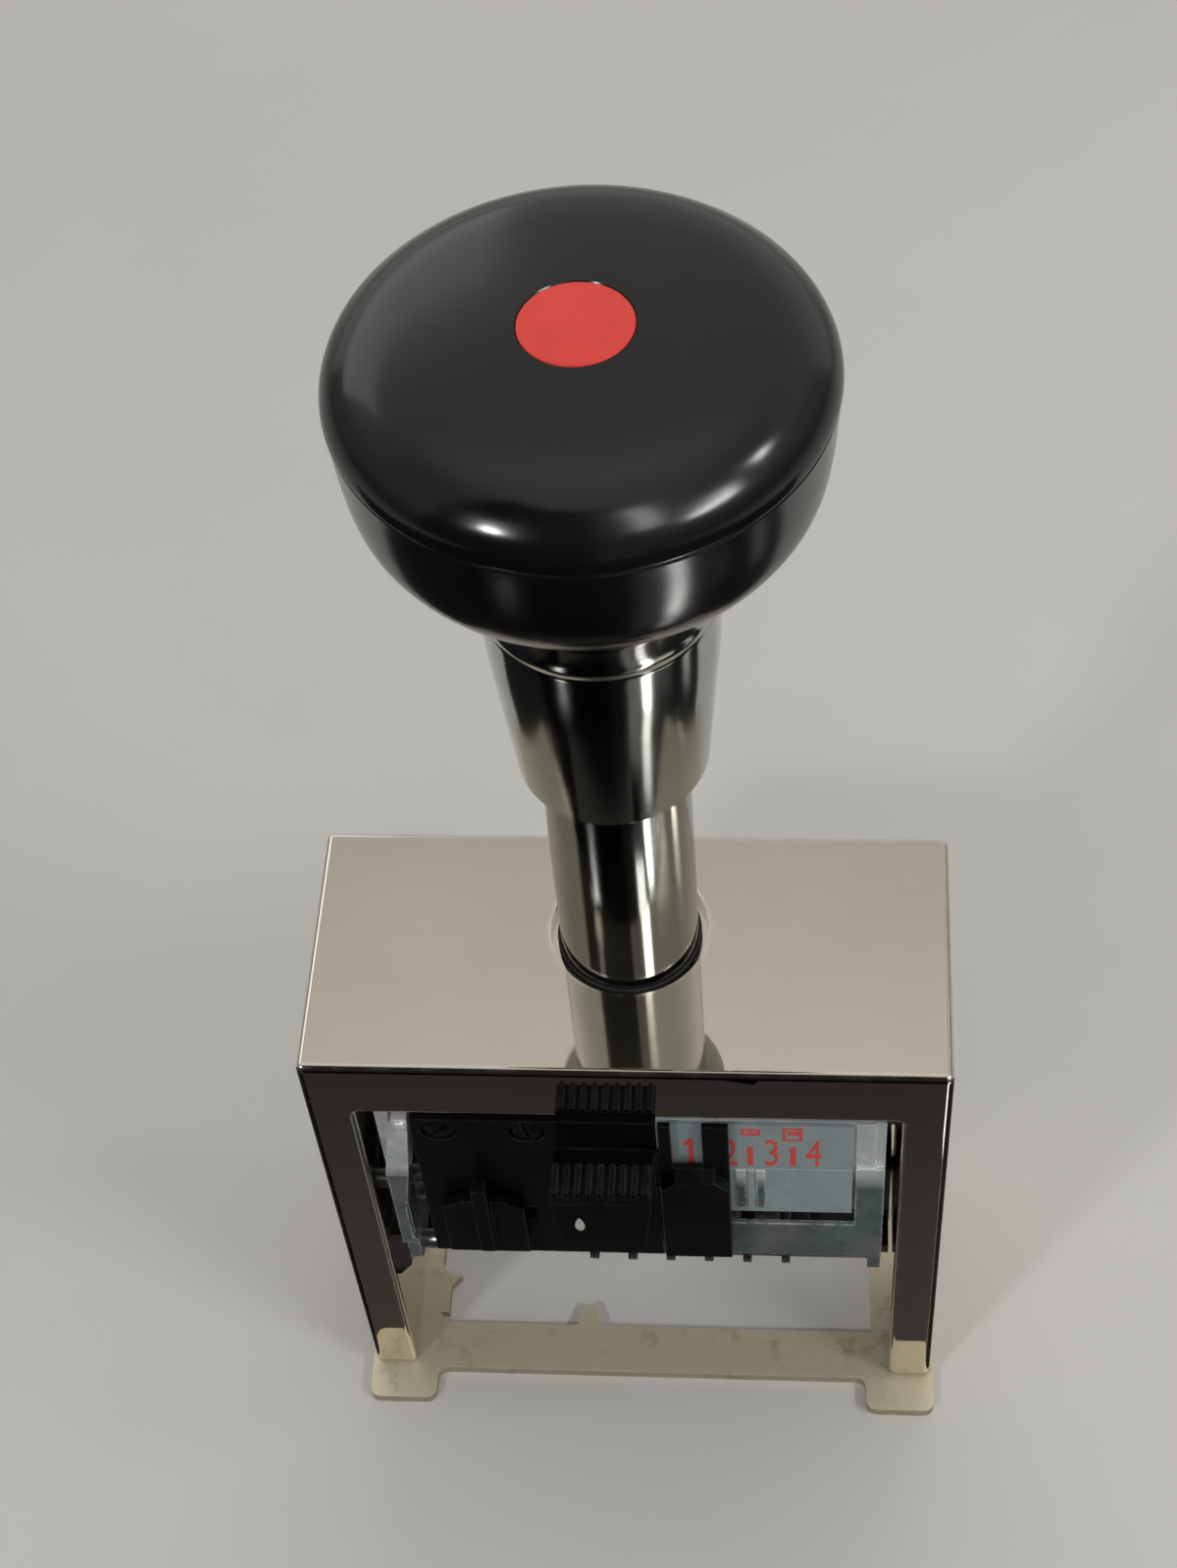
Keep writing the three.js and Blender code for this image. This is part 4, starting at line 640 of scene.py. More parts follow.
white_paint = Finish("white_paint")
thin_spots = white_paint.effect("grain", Scale=2600)
white_paint.colour(thin_spots, (0.62, 0.62, 0.60), (0.40, 0.40, 0.39))
white_paint.roughness(thin_spots, 0.45, 0.65)

felt = Finish("ink_felt", Sheen_Weight=0.3, Sheen_Roughness=0.6, Specular_IOR_Level=0.2)
fibres = felt.effect("grain", Scale=2400, Along_Z=0.3)
soaked = felt.effect("patches", Scale=200, Seed=17)
felt.colour(soaked, (0.016, 0.010, 0.020), (0.035, 0.026, 0.040))
felt.roughness(fibres, 0.75, 1.0)
felt.bump(fibres, 0.12)

rubber = Finish("rubber", Specular_IOR_Level=0.3)
bloom = rubber.effect("patches", Scale=300, Seed=18)
rubber.colour(bloom, (0.020, 0.020, 0.021), (0.034, 0.034, 0.035))
rubber.roughness(bloom, 0.7, 0.9)
rubber.bump(rubber.effect("grain", Scale=1800), 0.02)
print("materials:", len(bpy.data.materials))

# %% [markdown]
# ## The U frame
# The frame is one heavy U of flat bar, bent or cast, milled flat and
# polished. It is drawn as an outline with a thickness. The tube's hole has a
# small ring recess round it, which shows as a dark line. Two grooves in the
# legs guide the pins that swing the ink pad and drive the wheels.

# %% Frame
FRAME_HALF, FRAME_DEPTH, FRAME_TOP = 35, 31.3, 74.1
LEG_INNER, BAR_BOTTOM, PLATE = 29.8, 64.8, 1.6
FRAME_EDGE = 0.8
TUBE_R, RECESS_R = 7.6, 8.65
SHAFT_Z = 32.5
STROKE = 21.9


def ring_place(radius, degrees, drop=0.0):
    """A (y, z) place on a ring round the wheel shaft: 0 is to the back, 90 up."""
    a = math.radians(degrees)
    return (radius * math.cos(a), SHAFT_Z - drop + radius * math.sin(a))


def slot_outline(path, half, caps=8):
    """The outline of a slot with round ends along a row of points."""
    points = [Vector(p) for p in path]
    sides = []
    for i in range(len(points)):
        run = (points[min(i + 1, len(points) - 1)] - points[max(i - 1, 0)]).normalized()
        sides.append(Vector((-run.y, run.x)) * half)
    left = [p + s for p, s in zip(points, sides)]
    right = [p - s for p, s in zip(points, sides)][::-1]

    def cap(centre, start):
        first = math.atan2(start.y, start.x)
        turns = (first - math.pi * k / caps for k in range(1, caps))
        return [centre + Vector((math.cos(a), math.sin(a))) * half for a in turns]

    outline = left + cap(points[-1], sides[-1]) + right + cap(points[0], -sides[0])
    return [tuple(p) for p in outline]


def pin_path(ring, start, swing, steps=16):
    """The way a pin on a swinging arm takes past the frame while the head goes down."""
    return [ring_place(ring, start + swing * k / steps, STROKE * k / steps) for k in range(steps + 1)]


outline = [
    (-FRAME_HALF, PLATE), (-LEG_INNER, PLATE), (-LEG_INNER, BAR_BOTTOM), (LEG_INNER, BAR_BOTTOM),
    (LEG_INNER, PLATE), (FRAME_HALF, PLATE), (FRAME_HALF, FRAME_TOP), (-FRAME_HALF, FRAME_TOP),
]
u_frame = solid("frame_made", outline, -FRAME_DEPTH / 2, FRAME_DEPTH / 2, "Y")
pad_groove = slot_outline(pin_path(8, -75, 95), 1.65)
drive_groove = slot_outline(pin_path(10, 150, -40), 1.45)
cutters = [
    turned("bore", [(0, 60), (TUBE_R + 0.04, 60), (TUBE_R + 0.04, 80), (0, 80)]),
    turned("ring", [(0, FRAME_TOP - 1.5), (RECESS_R, FRAME_TOP - 1.5), (RECESS_R, 80), (0, 80)]),
    solid("groove", pad_groove, LEG_INNER - 2, LEG_INNER + 1.9, "X"),
    solid("groove", pad_groove, -LEG_INNER - 1.9, 2 - LEG_INNER, "X"),
    solid("groove", drive_groove, -LEG_INNER - 1.9, 2 - LEG_INNER, "X"),
]
for x in (-32.5, 32.5):
    for y in (-10, 10):
        cutters.append(rod("hole", -1, 7.8, x, y, 1.24, chamfer=0.01, axis="Z", steps=24))
soften(u_frame, FRAME_EDGE, 4)
combine(u_frame, cutters, "DIFFERENCE")
soften(u_frame, 0.18, 2)
stands_for(u_frame, "frame", nickel)
print("frame faces:", len(u_frame.data.polygons))

# %% [markdown]
# ## The base plate
# A stamped plate with rounded corners and four toes. Its window lets the
# type through. A pointer marks where the first figure prints, and a small
# hook at the left helps to line up the paper. Stamping leaves a rolled upper
# edge, so its edges are softened more than the machined pieces.

# %% Base plate and its screws
foot_plate = stands_for(from_cad("base_plate", 0.32, 3), "base_plate", dull_nickel)


def slotted_screw(name, axis, centre, head_from, head_to, shank_to, head_r, shank_r, slot_turn):
    """A screw with a crowned, slotted head. The places run along its axis."""
    out = 1 if head_from > head_to else -1
    height = abs(head_from - head_to)
    profile = [
        (0, head_from + 0.0 * out), (head_r * 0.55, head_from - 0.04 * height * out),
        (head_r * 0.86, head_from - 0.22 * height * out), (head_r, head_from - 0.5 * height * out),
        (head_r, head_to), (shank_r, head_to), (shank_r, shank_to + 0.4 * out), (shank_r - 0.35, shank_to),
        (0, shank_to),
    ]
    piece = turned(name, profile, axis, centre, 40)
    half, reach = 0.17 * head_r, head_r * 1.3
    low, high = sorted((head_from + out, head_from - 0.45 * height * out))
    c, s = math.cos(slot_turn), math.sin(slot_turn)
    corners = [(-reach, -half), (reach, -half), (reach, half), (-reach, half)]
    outline = [(centre[0] + u * c - v * s, centre[1] + u * s + v * c) for u, v in corners]
    combine(piece, [solid("slot", outline, low, high, axis)], "DIFFERENCE")
    piece.data.set_sharp_from_angle(angle=math.radians(40))
    return piece


for number, (x, y) in enumerate([(-32.5, -10), (32.5, -10), (-32.5, 10), (32.5, 10)], 1):
    screw = slotted_screw(f"base_screw_{number}_made", "Z", (x, y), 0.3, 1.0, 7.5, 2.2, 1.2, 0.5 * number)
    stands_for(screw, f"base_screw_{number}", steel)
print("base plate faces:", len(foot_plate.data.polygons))

# %% [markdown]
# ## Guide tube, bush and stop washer
# The tube is pressed through the frame from below, and its flange holds it.
# The bush inside guides the rod, and a rubber washer under the flange
# quietens the head when it springs back. A thin black ring low in the ring
# recess is painted shade: it darkens the gap round the tube. All are turned.

# %% Tube, bush and washer
tube_profile = fillet([
    (6.4, 63.0), (9.6, 63.0), (9.6, 64.8), (TUBE_R, 64.8), (TUBE_R, 118.0), (6.4, 118.0),
], 0.3, 4)
tube = stands_for(turned("guide_tube_made", tube_profile), "guide_tube", chrome)
bush = turned("guide_bush_made", fillet([(3.06, 63), (6.36, 63), (6.36, 70), (3.06, 70)], 0.3))
stands_for(bush, "guide_bush", brass)
washer = turned("stop_washer_made", fillet([(3.7, 62.2), (9, 62.2), (9, 63), (3.7, 63)], 0.2))
stands_for(washer, "stop_washer", rubber)
# Painted shade: a black rubber ring sits low in the ring recess to darken the gap round the tube.
shade_ring = turned("recess_shade_ring", fillet([
    (TUBE_R + 0.03, FRAME_TOP - 1.48), (TUBE_R + 0.32, FRAME_TOP - 1.48),
    (TUBE_R + 0.32, FRAME_TOP - 0.45), (TUBE_R + 0.03, FRAME_TOP - 0.45),
], 0.1))
shade_ring.data.materials.append(rubber.material)
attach(shade_ring, "frame_unit")
print("tube rings:", len(tube_profile))

# %% [markdown]
# ## Return spring
# A compression spring of round wire, twenty turns, with closed ends. It is
# hidden inside tube and knob, but it shows what pushes the head back. When
# the knob goes down, the real spring shortens towards its fixed lower end;
# here it is built at rest.

# %% Spring
SPRING_LOW, SPRING_HIGH = 70.9, 139.3
SPRING_R, WIRE_R, SPRING_TURNS, END_PITCH = 4.7, 0.6, 20, 1.75


def spring_height(turns_done):
    pitch = (SPRING_HIGH - SPRING_LOW - 2 * END_PITCH) / (SPRING_TURNS - 2)
    if turns_done < 1:
        return SPRING_LOW + END_PITCH * turns_done
    if turns_done > SPRING_TURNS - 1:
        return SPRING_HIGH - END_PITCH * (SPRING_TURNS - turns_done)
    return SPRING_LOW + END_PITCH + pitch * (turns_done - 1)


def coil(name, steps_a_turn=28, sides=10):
    bm = bmesh.new()
    rings = []
    for i in range(SPRING_TURNS * steps_a_turn + 1):
        turns_done = i / steps_a_turn
        angle = 2 * math.pi * turns_done
        ring = []
        for k in range(sides):
            a = 2 * math.pi * k / sides
            r = SPRING_R + WIRE_R * math.cos(a)
            z = spring_height(turns_done) + WIRE_R * math.sin(a)
            ring.append(bm.verts.new((r * math.cos(angle), AXIS_Y + r * math.sin(angle), z)))
        rings.append(ring)
    join_rings(bm, rings)
    bm.faces.new(rings[0][::-1])
    bm.faces.new(rings[-1])
    return smooth_below(new_piece(name, bm), 60)


spring = stands_for(coil("return_spring_made"), "return_spring", spring_steel)
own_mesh(spring)

# %% [markdown]
# ## Knob
# The palm knob is one moulding, or turned from solid black plastic. Its top
# is slightly domed with a broad round edge. A fine parting line runs round
# its widest part, and below that it tapers in to the collar. The profile's
# heights and radii were read off the outline in the picture. The red disc
# sits in a shallow seat.

# %% Knob and its red disc
KNOB_LOW, KNOB_TOP = 136.5, 164.6
DOT_R, DOT = 5.05, 0.8
knob_side = [
    (12.15, 136.5), (12.35, 136.8), (12.9, 137.6), (13.75, 138.6), (15.8, 141.1), (17.95, 143.5),
    (19.0, 144.75), (19.95, 146), (20.9, 147.7), (21.45, 149.5), (21.8, 152), (22.0, 154.3),
    (22.17, 156.6), (22.27, 157.75), (22.14, 157.93), (22.29, 158.1), (22.38, 158.35), (22.3, 159.1),
    (22.02, 159.9), (21.5, 160.75), (20.78, 161.5), (19.75, 162.35), (18.4, 163.1), (16.7, 163.66),
    (14.5, 164.02), (11.5, 164.3), (8.2, 164.48), (DOT_R + 0.12, 164.58),
]


def smooth_run(points, parts=3):
    """More points between the given ones, on a smooth curve through them."""
    result = [points[0]]
    last = len(points) - 1
    for i in range(last):
        p0, p1, p2, p3 = (Vector(points[max(0, min(j, last))]) for j in range(i - 1, i + 3))
        for k in range(1, parts + 1):
            t = k / parts
            bend = 0.5 * (2 * p1 + (p2 - p0) * t + (2 * p0 - 5 * p1 + 4 * p2 - p3) * t**2
                          + (3 * p1 - p0 - 3 * p2 + p3) * t**3)
            result.append(tuple(bend))
    return result


body_run = smooth_run(knob_side[:14])
cap_run = smooth_run(knob_side[16:])
knob_profile = [
    (0, 157), (3.04, 157), (3.04, 141), (7.96, 141), (7.96, KNOB_LOW), *body_run,
    knob_side[14], knob_side[15], *cap_run, (DOT_R + 0.05, 164.5), (DOT_R + 0.05, KNOB_TOP - DOT),
    (0, KNOB_TOP - DOT),
]
stands_for(turned("knob_made", knob_profile, steps=192), "knob", gloss_black)
dot_profile = [
    (0, KNOB_TOP - DOT + 0.02), (DOT_R, KNOB_TOP - DOT + 0.02), (DOT_R, KNOB_TOP - 0.09),
    (DOT_R - 0.05, KNOB_TOP - 0.03), (DOT_R - 0.16, KNOB_TOP - 0.01), (DOT_R - 0.5, KNOB_TOP), (0, KNOB_TOP),
]
dot_piece = turned("knob_dot_made", dot_profile, steps=96)
stands_for(dot_piece, "knob_dot", red_insert)
print("knob profile points:", len(knob_profile))

# %% [markdown]
# ## Collar
# The collar slides over the tube. It tapers outward as it rises. A low bead
# starts its rim under the knob, and from there it flares. The flare is what
# shows pale under the black knob, because it looks down.

# %% Collar
collar_side = [
    (8.75, 106.1), (9.15, 106.16), (9.48, 106.42), (9.68, 106.8), (9.75, 107.3), (10.23, 113.0),
    (10.75, 119.0), (11.2, 124.4), (11.42, 130.0), (11.45, 131.0), (11.42, 131.25), (11.48, 131.5),
    (11.62, 131.9), (11.7, 132.4), (11.7, 132.9), (11.72, 133.4), (11.78, 134.0), (11.87, 134.7),
    (11.97, 135.4), (12.06, 136.0), (12.09, 136.3), (12.05, 136.42),
]
collar_profile = [(7.66, 106.1), *smooth_run(collar_side), (11.8, 136.5), (7.66, 136.5)]
collar = turned("collar_made", collar_profile, steps=160)
stands_for(collar, "collar", chrome)
print("collar profile points:", len(collar_profile))

# %% [markdown]
# ## Rod, pin and the spring's washer
# A steel rod joins knob and head through the tube. A cross pin holds it in
# the head's bridge.

# %% Rod, pin, washer
BRIDGE_TOP, BRIDGE_BOTTOM = 61.9, 57.0
BRIDGE_MID = (BRIDGE_TOP + BRIDGE_BOTTOM) / 2
plunger = rod("plunger_rod_made", BRIDGE_BOTTOM + 0.3, 156.7, 0, AXIS_Y, 3, axis="Z", chamfer=0.4)
combine(plunger, [rod("hole", -2, 8, 0, BRIDGE_MID, 0.84, axis="Y", steps=24, chamfer=0.01)], "DIFFERENCE")
plunger.data.set_sharp_from_angle(angle=math.radians(40))
stands_for(plunger, "plunger_rod", steel)
pin = rod("rod_pin_made", -8.7, 12.7, 0, BRIDGE_MID, 0.8, axis="Y", steps=32)
stands_for(pin, "rod_pin", steel)
seat = turned("spring_washer_made", fillet([(3.04, 140.2), (6.6, 140.2), (6.6, 141), (3.04, 141)], 0.15))
stands_for(seat, "spring_washer", steel)
print("rod length:", round(156.7 - BRIDGE_BOTTOM - 0.3, 1), "mm")

# %% [markdown]
# ## The head's plates, bridge and bars
# Two zinc plated side plates hang from a steel bridge. Their front edges are
# folded in, and shafts and bars cross between them. The CAD already has each
# outline and hole, so these pieces keep its shape and get softened edges.

# %% Plates and bridge
for finish, widths in [
    (steel, {"head_bridge": 0.2, "selector_shoe": 0.15, "zero_keeper": 0.12, "swing_frame": 0.15}),
    (zinc, {"left_side_plate": 0.22, "right_side_plate": 0.16}),
    (satin_black, {"front_cover": 0.22, "pad_carrier": 0.2}),
    (brass, {"repeat_drum": 0.1}),
    (spring_steel, {"drive_pawl": 0.1, **{f"detent_pawl_{number}": 0.1 for number in range(1, 7)}}),
]:
    for node, width in widths.items():
        softened = stands_for(from_cad(node, width), node, finish)
        print(node, "faces:", len(softened.data.polygons))

# %% Shafts, bars, sleeves and pins
SIDE_OUTER, SIDE_INNER = 28.3, 26.8


def axle(node, y, z, radius, bore=0, groove=0):
    """A turned rod over a node's own length, with a circlip groove at each end if asked."""
    low, high = (v.x / MM for v in map(Vector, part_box(node)))
    if groove:
        end = [(0, 0), (radius - 0.25, 0), (radius, 0.25), (radius, groove), (radius - 0.3, groove),
               (radius - 0.3, groove + 0.4), (radius, groove + 0.4)]
        profile = [(r, low + d) for r, d in end] + [(r, high - d) for r, d in reversed(end)]
        piece = turned(node + "_made", profile, "X", (y, z), SHAFT_STEPS)
    else:
        piece = rod(node + "_made", low, high, y, z, radius, bore)
    return stands_for(piece, node, steel)


DETENT_BAR = ring_place(12.4, 211)
axle("wheel_shaft", 0, SHAFT_Z, 2.0, groove=0.5)
for side in ("left", "right"):
    axle(f"{side}_spacer", 0, SHAFT_Z, 3.5, bore=2.04)
axle("selector_rail", -11.1, 43.3, 1.2)
axle("cam_shaft", -2, 52.2, 1.2)
axle("detent_shaft", *DETENT_BAR, 1.2)
CAM_PIN = ring_place(8, -75)
for side in ("left", "right"):
    axle(f"{side}_cam_pin", *CAM_PIN, 1.4)
print("detent bar at", [round(v, 2) for v in DETENT_BAR], "cam pin at", [round(v, 2) for v in CAM_PIN])

# %% Screws and the rivet
for number, (share_y, share_z) in enumerate([(-0.1, 0.5), (0.7, 0.5)], 1):
    y, z = 13 * share_y, BRIDGE_BOTTOM + 4.9 * share_z
    for side, word in ((-1, "left"), (1, "right")):
        node = f"{word}_plate_screw_{number}"
        screw = slotted_screw(node + "_made", "X", (y, z), side * (SIDE_OUTER + 0.9), side * SIDE_OUTER,
                              side * (SIDE_INNER - 5), 2.0, 1.2, 0.4 + number)
        stands_for(screw, node, steel)
for number, x in enumerate((-21.2, -11.3), 1):
    node = f"cover_screw_{number}"
    screw = slotted_screw(node + "_made", "Y", (x, BRIDGE_MID), -14.6, -13.7, -4, 2.0, 1.2, 0.9 * number)
    stands_for(screw, node, satin_black)
x, z = -SIDE_OUTER + 2.9, BRIDGE_TOP - 1.2
rivet_profile = [
    (0, -15.3), (0.32, -15.27), (0.6, -15.15), (0.78, -14.95), (0.88, -14.75), (0.9, -14.6),
    (0.45, -14.6), (0.45, -13.85), (0, -13.85),
]
rivet = turned("flange_rivet_made", rivet_profile, "Y", (x, z), 48)
stands_for(rivet, "flange_rivet", zinc)
print("screws and rivet in place")

# %% [markdown]
# ## Number wheels
# Each wheel has ten raised figures, mirrored so that they print the right
# way round, beside a ten-tooth ratchet. The figures could be carved with
# booleans, but a type founder casts them standing on their block, so here a
# text mesh is stood on each block's face.

# %% Figures as meshes
def figure_mesh(body, width, height, thick):
    """A figure as a closed mesh of that size in millimetres, centred in x and y, standing on z = 0."""
    text = bpy.data.curves.new("figure", "FONT")
    text.body = body
    text.extrude = 0.5
    text.resolution_u = 3
    holder = bpy.data.objects.new("figure", text)
    bpy.context.scene.collection.objects.link(holder)
    graph = bpy.context.evaluated_depsgraph_get()
    mesh = bpy.data.meshes.new_from_object(holder.evaluated_get(graph))
    bpy.data.objects.remove(holder)
    bm = bmesh.new()
    bm.from_mesh(mesh)
    bpy.data.meshes.remove(mesh)
    bmesh.ops.remove_doubles(bm, verts=bm.verts, dist=1e-5)
    lows = [min(v.co[i] for v in bm.verts) for i in range(3)]
    highs = [max(v.co[i] for v in bm.verts) for i in range(3)]
    for v in bm.verts:
        v.co.x = (v.co.x - (lows[0] + highs[0]) / 2) * (width / (highs[0] - lows[0]))
        v.co.y = (v.co.y - (lows[1] + highs[1]) / 2) * (height / (highs[1] - lows[1]))
        v.co.z = (v.co.z - lows[2]) * (thick / (highs[2] - lows[2]))
    return bm


WHEEL_PITCH, TYPE_WIDTH, RATCHET_WIDTH, BANK_LEFT = 4.6, 3.0, 1.4, -9.6
TYPE_FACE_R, FIGURE_HEIGHT = 10.02, 4.0
figures = []
for digit in range(10):
    wide = 1.1 if digit == 1 else 2.2
    bm = figure_mesh(str(digit), wide, FIGURE_HEIGHT, 0.52)
    for v in bm.verts:
        v.co.x *= 0.06 * v.co.z / 0.52 - 1
    bmesh.ops.reverse_faces(bm, faces=bm.faces)
    figures.append(bm)
print("figure faces:", [len(bm.faces) for bm in figures])

# %% Wheels
def at_corner(degrees, *ring):
    """Places on rings round the shaft: (radius, degrees further on) pairs."""
    return [ring_place(radius, degrees + further) for radius, further in ring]


def along_x(bm, outline, low, high):
    """Adds an outline of (y, z) points between two places along X to a bmesh."""
    return add_prism(bm, *([(x, y, z) for y, z in outline] for x in (low, high)))


HALF_BLOCK = math.degrees(math.asin(2.35 / TYPE_FACE_R))
BLOCK_FLAT = TYPE_FACE_R * math.cos(math.radians(HALF_BLOCK)) - 0.06
TEN_STEPS = [-90 + 36 * k for k in range(10)]


def type_ring(x0, x1):
    """Ten type blocks with their figures, as one bmesh."""
    bm = bmesh.new()
    for at, figure in zip(TEN_STEPS, figures):
        outline = at_corner(at, (8.9, -HALF_BLOCK - 1.2), (TYPE_FACE_R, -HALF_BLOCK),
                            (TYPE_FACE_R, HALF_BLOCK), (8.9, HALF_BLOCK + 1.2))
        along_x(bm, outline, x0 + 0.08, x1 - 0.08)
        a = math.radians(at)
        outward = Vector((0, math.cos(a), math.sin(a)))
        around = Vector((0, -math.sin(a), math.cos(a)))
        base = Vector(((x0 + x1) / 2, 0, SHAFT_Z)) + outward * BLOCK_FLAT
        reach = (10.46 - BLOCK_FLAT) / 0.52
        extra = figure.copy()
        for v in extra.verts:
            u, w, d = v.co
            v.co = base + Vector((1, 0, 0)) * u + around * w + outward * d * reach
        standing = bpy.data.meshes.new("figure")
        extra.to_mesh(standing)
        extra.free()
        bm.from_mesh(standing)
        bpy.data.meshes.remove(standing)
    return bm


def number_wheel(index):
    x0 = BANK_LEFT + index * WHEEL_PITCH
    x1, x2 = x0 + TYPE_WIDTH, x0 + TYPE_WIDTH + RATCHET_WIDTH
    wheel = rod(f"number_wheel_{index + 1}_made", x0, x1, 0, SHAFT_Z, 9.3, 2.04, 0.15, steps=80)
    teeth = [p for at in TEN_STEPS for p in at_corner(at, (8.3, 0), (8.15, 0.8), (6.9, 1.4), (6.9, 17))]
    ratchet = solid("ratchet", teeth, x1, x2, "X")
    bore = [ring_place(2.04, 360 * k / 24) for k in range(24)]
    combine(ratchet, [solid("hole", bore, x1 - 1, x2 + 1, "X")], "DIFFERENCE")
    soften(ratchet, 0.08, 1)
    types = smooth_below(new_piece("types", type_ring(x0, x1)), 30)
    whole = bmesh.new()
    for part in (wheel, types, ratchet):
        whole.from_mesh(part.data)
    whole.to_mesh(wheel.data)
    whole.free()
    for part in (types, ratchet):
        bpy.data.objects.remove(part)
    return wheel


for index in range(6):
    node = f"number_wheel_{index + 1}"
    wheel = stands_for(number_wheel(index), node, steel)
print("wheel faces:", len(wheel.data.polygons))

# %% [markdown]
# ## Ink pad
# The pad is a block of felt in the tray under the wheels. It is soft, so its
# top is crowned between its edges and its surface wanders a little. The mesh
# starts as a fine grid, and smooth noise moves it.

# %% Felt pad
def felt_block(name, node):
    low, high = (Vector(v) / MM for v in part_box(node))
    low.y -= SHIFT_Y
    high.y -= SHIFT_Y
    size, middle = high - low, (high + low) / 2
    bm = bmesh.new()
    bmesh.ops.create_cube(bm, size=1)
    bmesh.ops.subdivide_edges(bm, edges=bm.edges, cuts=23, use_grid_fill=True)
    for v in bm.verts:
        u = v.co * 2
        rim = 1 - max(abs(u.x), abs(u.y)) ** 6
        place = Vector(middle[i] + v.co[i] * size[i] for i in range(3))
        if u.z > 0:
            place.z -= (1 - rim) * 0.45 * u.z
        push = noise.noise(place * 0.55) * 0.10 + noise.noise(place * 2.1) * 0.05
        inward = 1 - 0.02 * abs(u.z) - 0.004
        place.x = middle.x + (place.x - middle.x) * inward
        place.y = middle.y + (place.y - middle.y) * inward
        place.z -= abs(push) if u.z > 0.9 else 0
        v.co = place
    piece = new_piece(name, bm)
    piece.data.shade_smooth()
    return piece


pad = stands_for(felt_block("ink_pad_made", "ink_pad"), "ink_pad", felt)
print("pad vertices:", len(pad.data.vertices))

# %% [markdown]
# ## Scale
# The scale is a thin plate with a row of small red figures: how many times a
# number prints before it changes. Short ticks stand between them, and two
# small signs above. A score line runs under the row. The selector's window
# shows the figure that is set.

# %% Scale plate and its score line
SCALE_LEFT, SCALE_RIGHT, SCALE_BOTTOM = 3.0, 24.7, 42.4
FACE_Y, SCORE_Z = -14.6, 52.4
PLATE_THICK, SCORE = 0.6, 0.09
scale_plate = block("scale_plate_made", SCALE_LEFT, SCALE_RIGHT, FACE_Y, FACE_Y + PLATE_THICK,
                    SCALE_BOTTOM, BRIDGE_TOP)
score = block("score", SCALE_LEFT - 1, SCALE_RIGHT + 1, FACE_Y - 1, FACE_Y + 0.07,
              SCORE_Z - SCORE, SCORE_Z + SCORE)
combine(scale_plate, [score], "DIFFERENCE")
soften(scale_plate, 0.08, 2)
stands_for(scale_plate, "scale_plate", scale_grey)


def on_face(name, bm, x, z, y, finish, body):
    """Stands a flat mesh, drawn in x and y with its thickness in z, on the front face."""
    for v in bm.verts:
        u, w, d = v.co
        v.co = (x + u, y - d, z + w)
    piece = new_piece(name, bm)
    piece.data.materials.append(finish.material)
    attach(piece, body)
    return piece


def bar_mesh(width, height, thick):
    bm = bmesh.new()
    bmesh.ops.create_cube(bm, size=1)
    for v in bm.verts:
        v.co = Vector((v.co.x * width, v.co.y * height, (v.co.z + 0.5) * thick))
    return bm


# %% Figures and ticks on the scale
FIGURE_LOW, FIGURE_TALL, FIRST_X, STEP = 53.2, 5.75, 6.5, 4.6
PAINT, TICK_TALL = 0.035, 4.2
FIGURE_WIDTHS = (1.5, 1.5, 1.45, 1.74)


def on_scale(name, bm, x, z, finish=red_paint):
    return on_face(name, bm, x, z, FACE_Y, finish, "head")


def prism_mesh(outline, thick, narrow=1.0, short=1.0):
    """A closed plate from an outline in millimetres. Its upper face can be a little smaller."""
    return add_prism(bmesh.new(), [(u, w, 0) for u, w in outline],
                     [(u * narrow, w * short, thick) for u, w in outline])


END = FIGURE_TALL / 2
ONE = [(-0.02, -END), (0.54, -END), (0.54, END), (0.08, END), (-0.5, END - 1.1), (-0.5, END - 1.8),
       (-0.02, END - 1.2)]
for count, wide in enumerate(FIGURE_WIDTHS, 1):
    bm = figure_mesh(str(count), wide, FIGURE_TALL, PAINT) if count > 1 else prism_mesh(ONE, PAINT)
    on_scale(f"scale_figure_{count}", bm, FIRST_X + STEP * (count - 1), FIGURE_LOW + FIGURE_TALL / 2)
for number, place in enumerate((4.35, 8.75, 13.3, 18.05), 1):
    on_scale(f"scale_tick_{number}", bar_mesh(0.62, TICK_TALL, PAINT), place, FIGURE_LOW + TICK_TALL / 2)


def outlined_sign(name, x, z, width, height, line, inner):
    """A small painted box with its middle mark, from thin bars."""
    tall = height - 2 * line
    bars = [(0, (height - line) / 2, width, line), (0, (line - height) / 2, width, line),
            ((line - width) / 2, 0, line, tall), ((width - line) / 2, 0, line, tall), inner]
    for part, (dx, dz, w, h) in enumerate(bars, 1):
        on_scale(f"{name}_{part}", bar_mesh(w, h, PAINT), x + dx, z + dz)


outlined_sign("scale_sign_left", 13.4, 60.55, 2.1, 1.35, 0.34, (0, 0, 0.9, 0.3))
outlined_sign("scale_sign_right", 18.0, 60.2, 2.2, 2.8, 0.34, (0.1, 0.25, 1.2, 0.8))
print("scale figures drawn")

# %% Pale tabs and a bead on the lower half of the scale
def tab_mesh(width, height, thick, steps=10):
    """A thin tab whose lower end is rounded."""
    centre = width / 2 - height / 2
    turns = (-math.pi * k / steps for k in range(steps + 1))
    outline = [(-width / 2, height / 2), (width / 2, height / 2)]
    outline += [(width / 2 * math.cos(a), centre + width / 2 * math.sin(a)) for a in turns]
    return prism_mesh(outline, thick, 0.86, 0.985)


TAB_LOW = 43.3
TAB_MID = (SCORE_Z - 0.3 + TAB_LOW) / 2
TAB_TALL = SCORE_Z - 0.3 - TAB_LOW
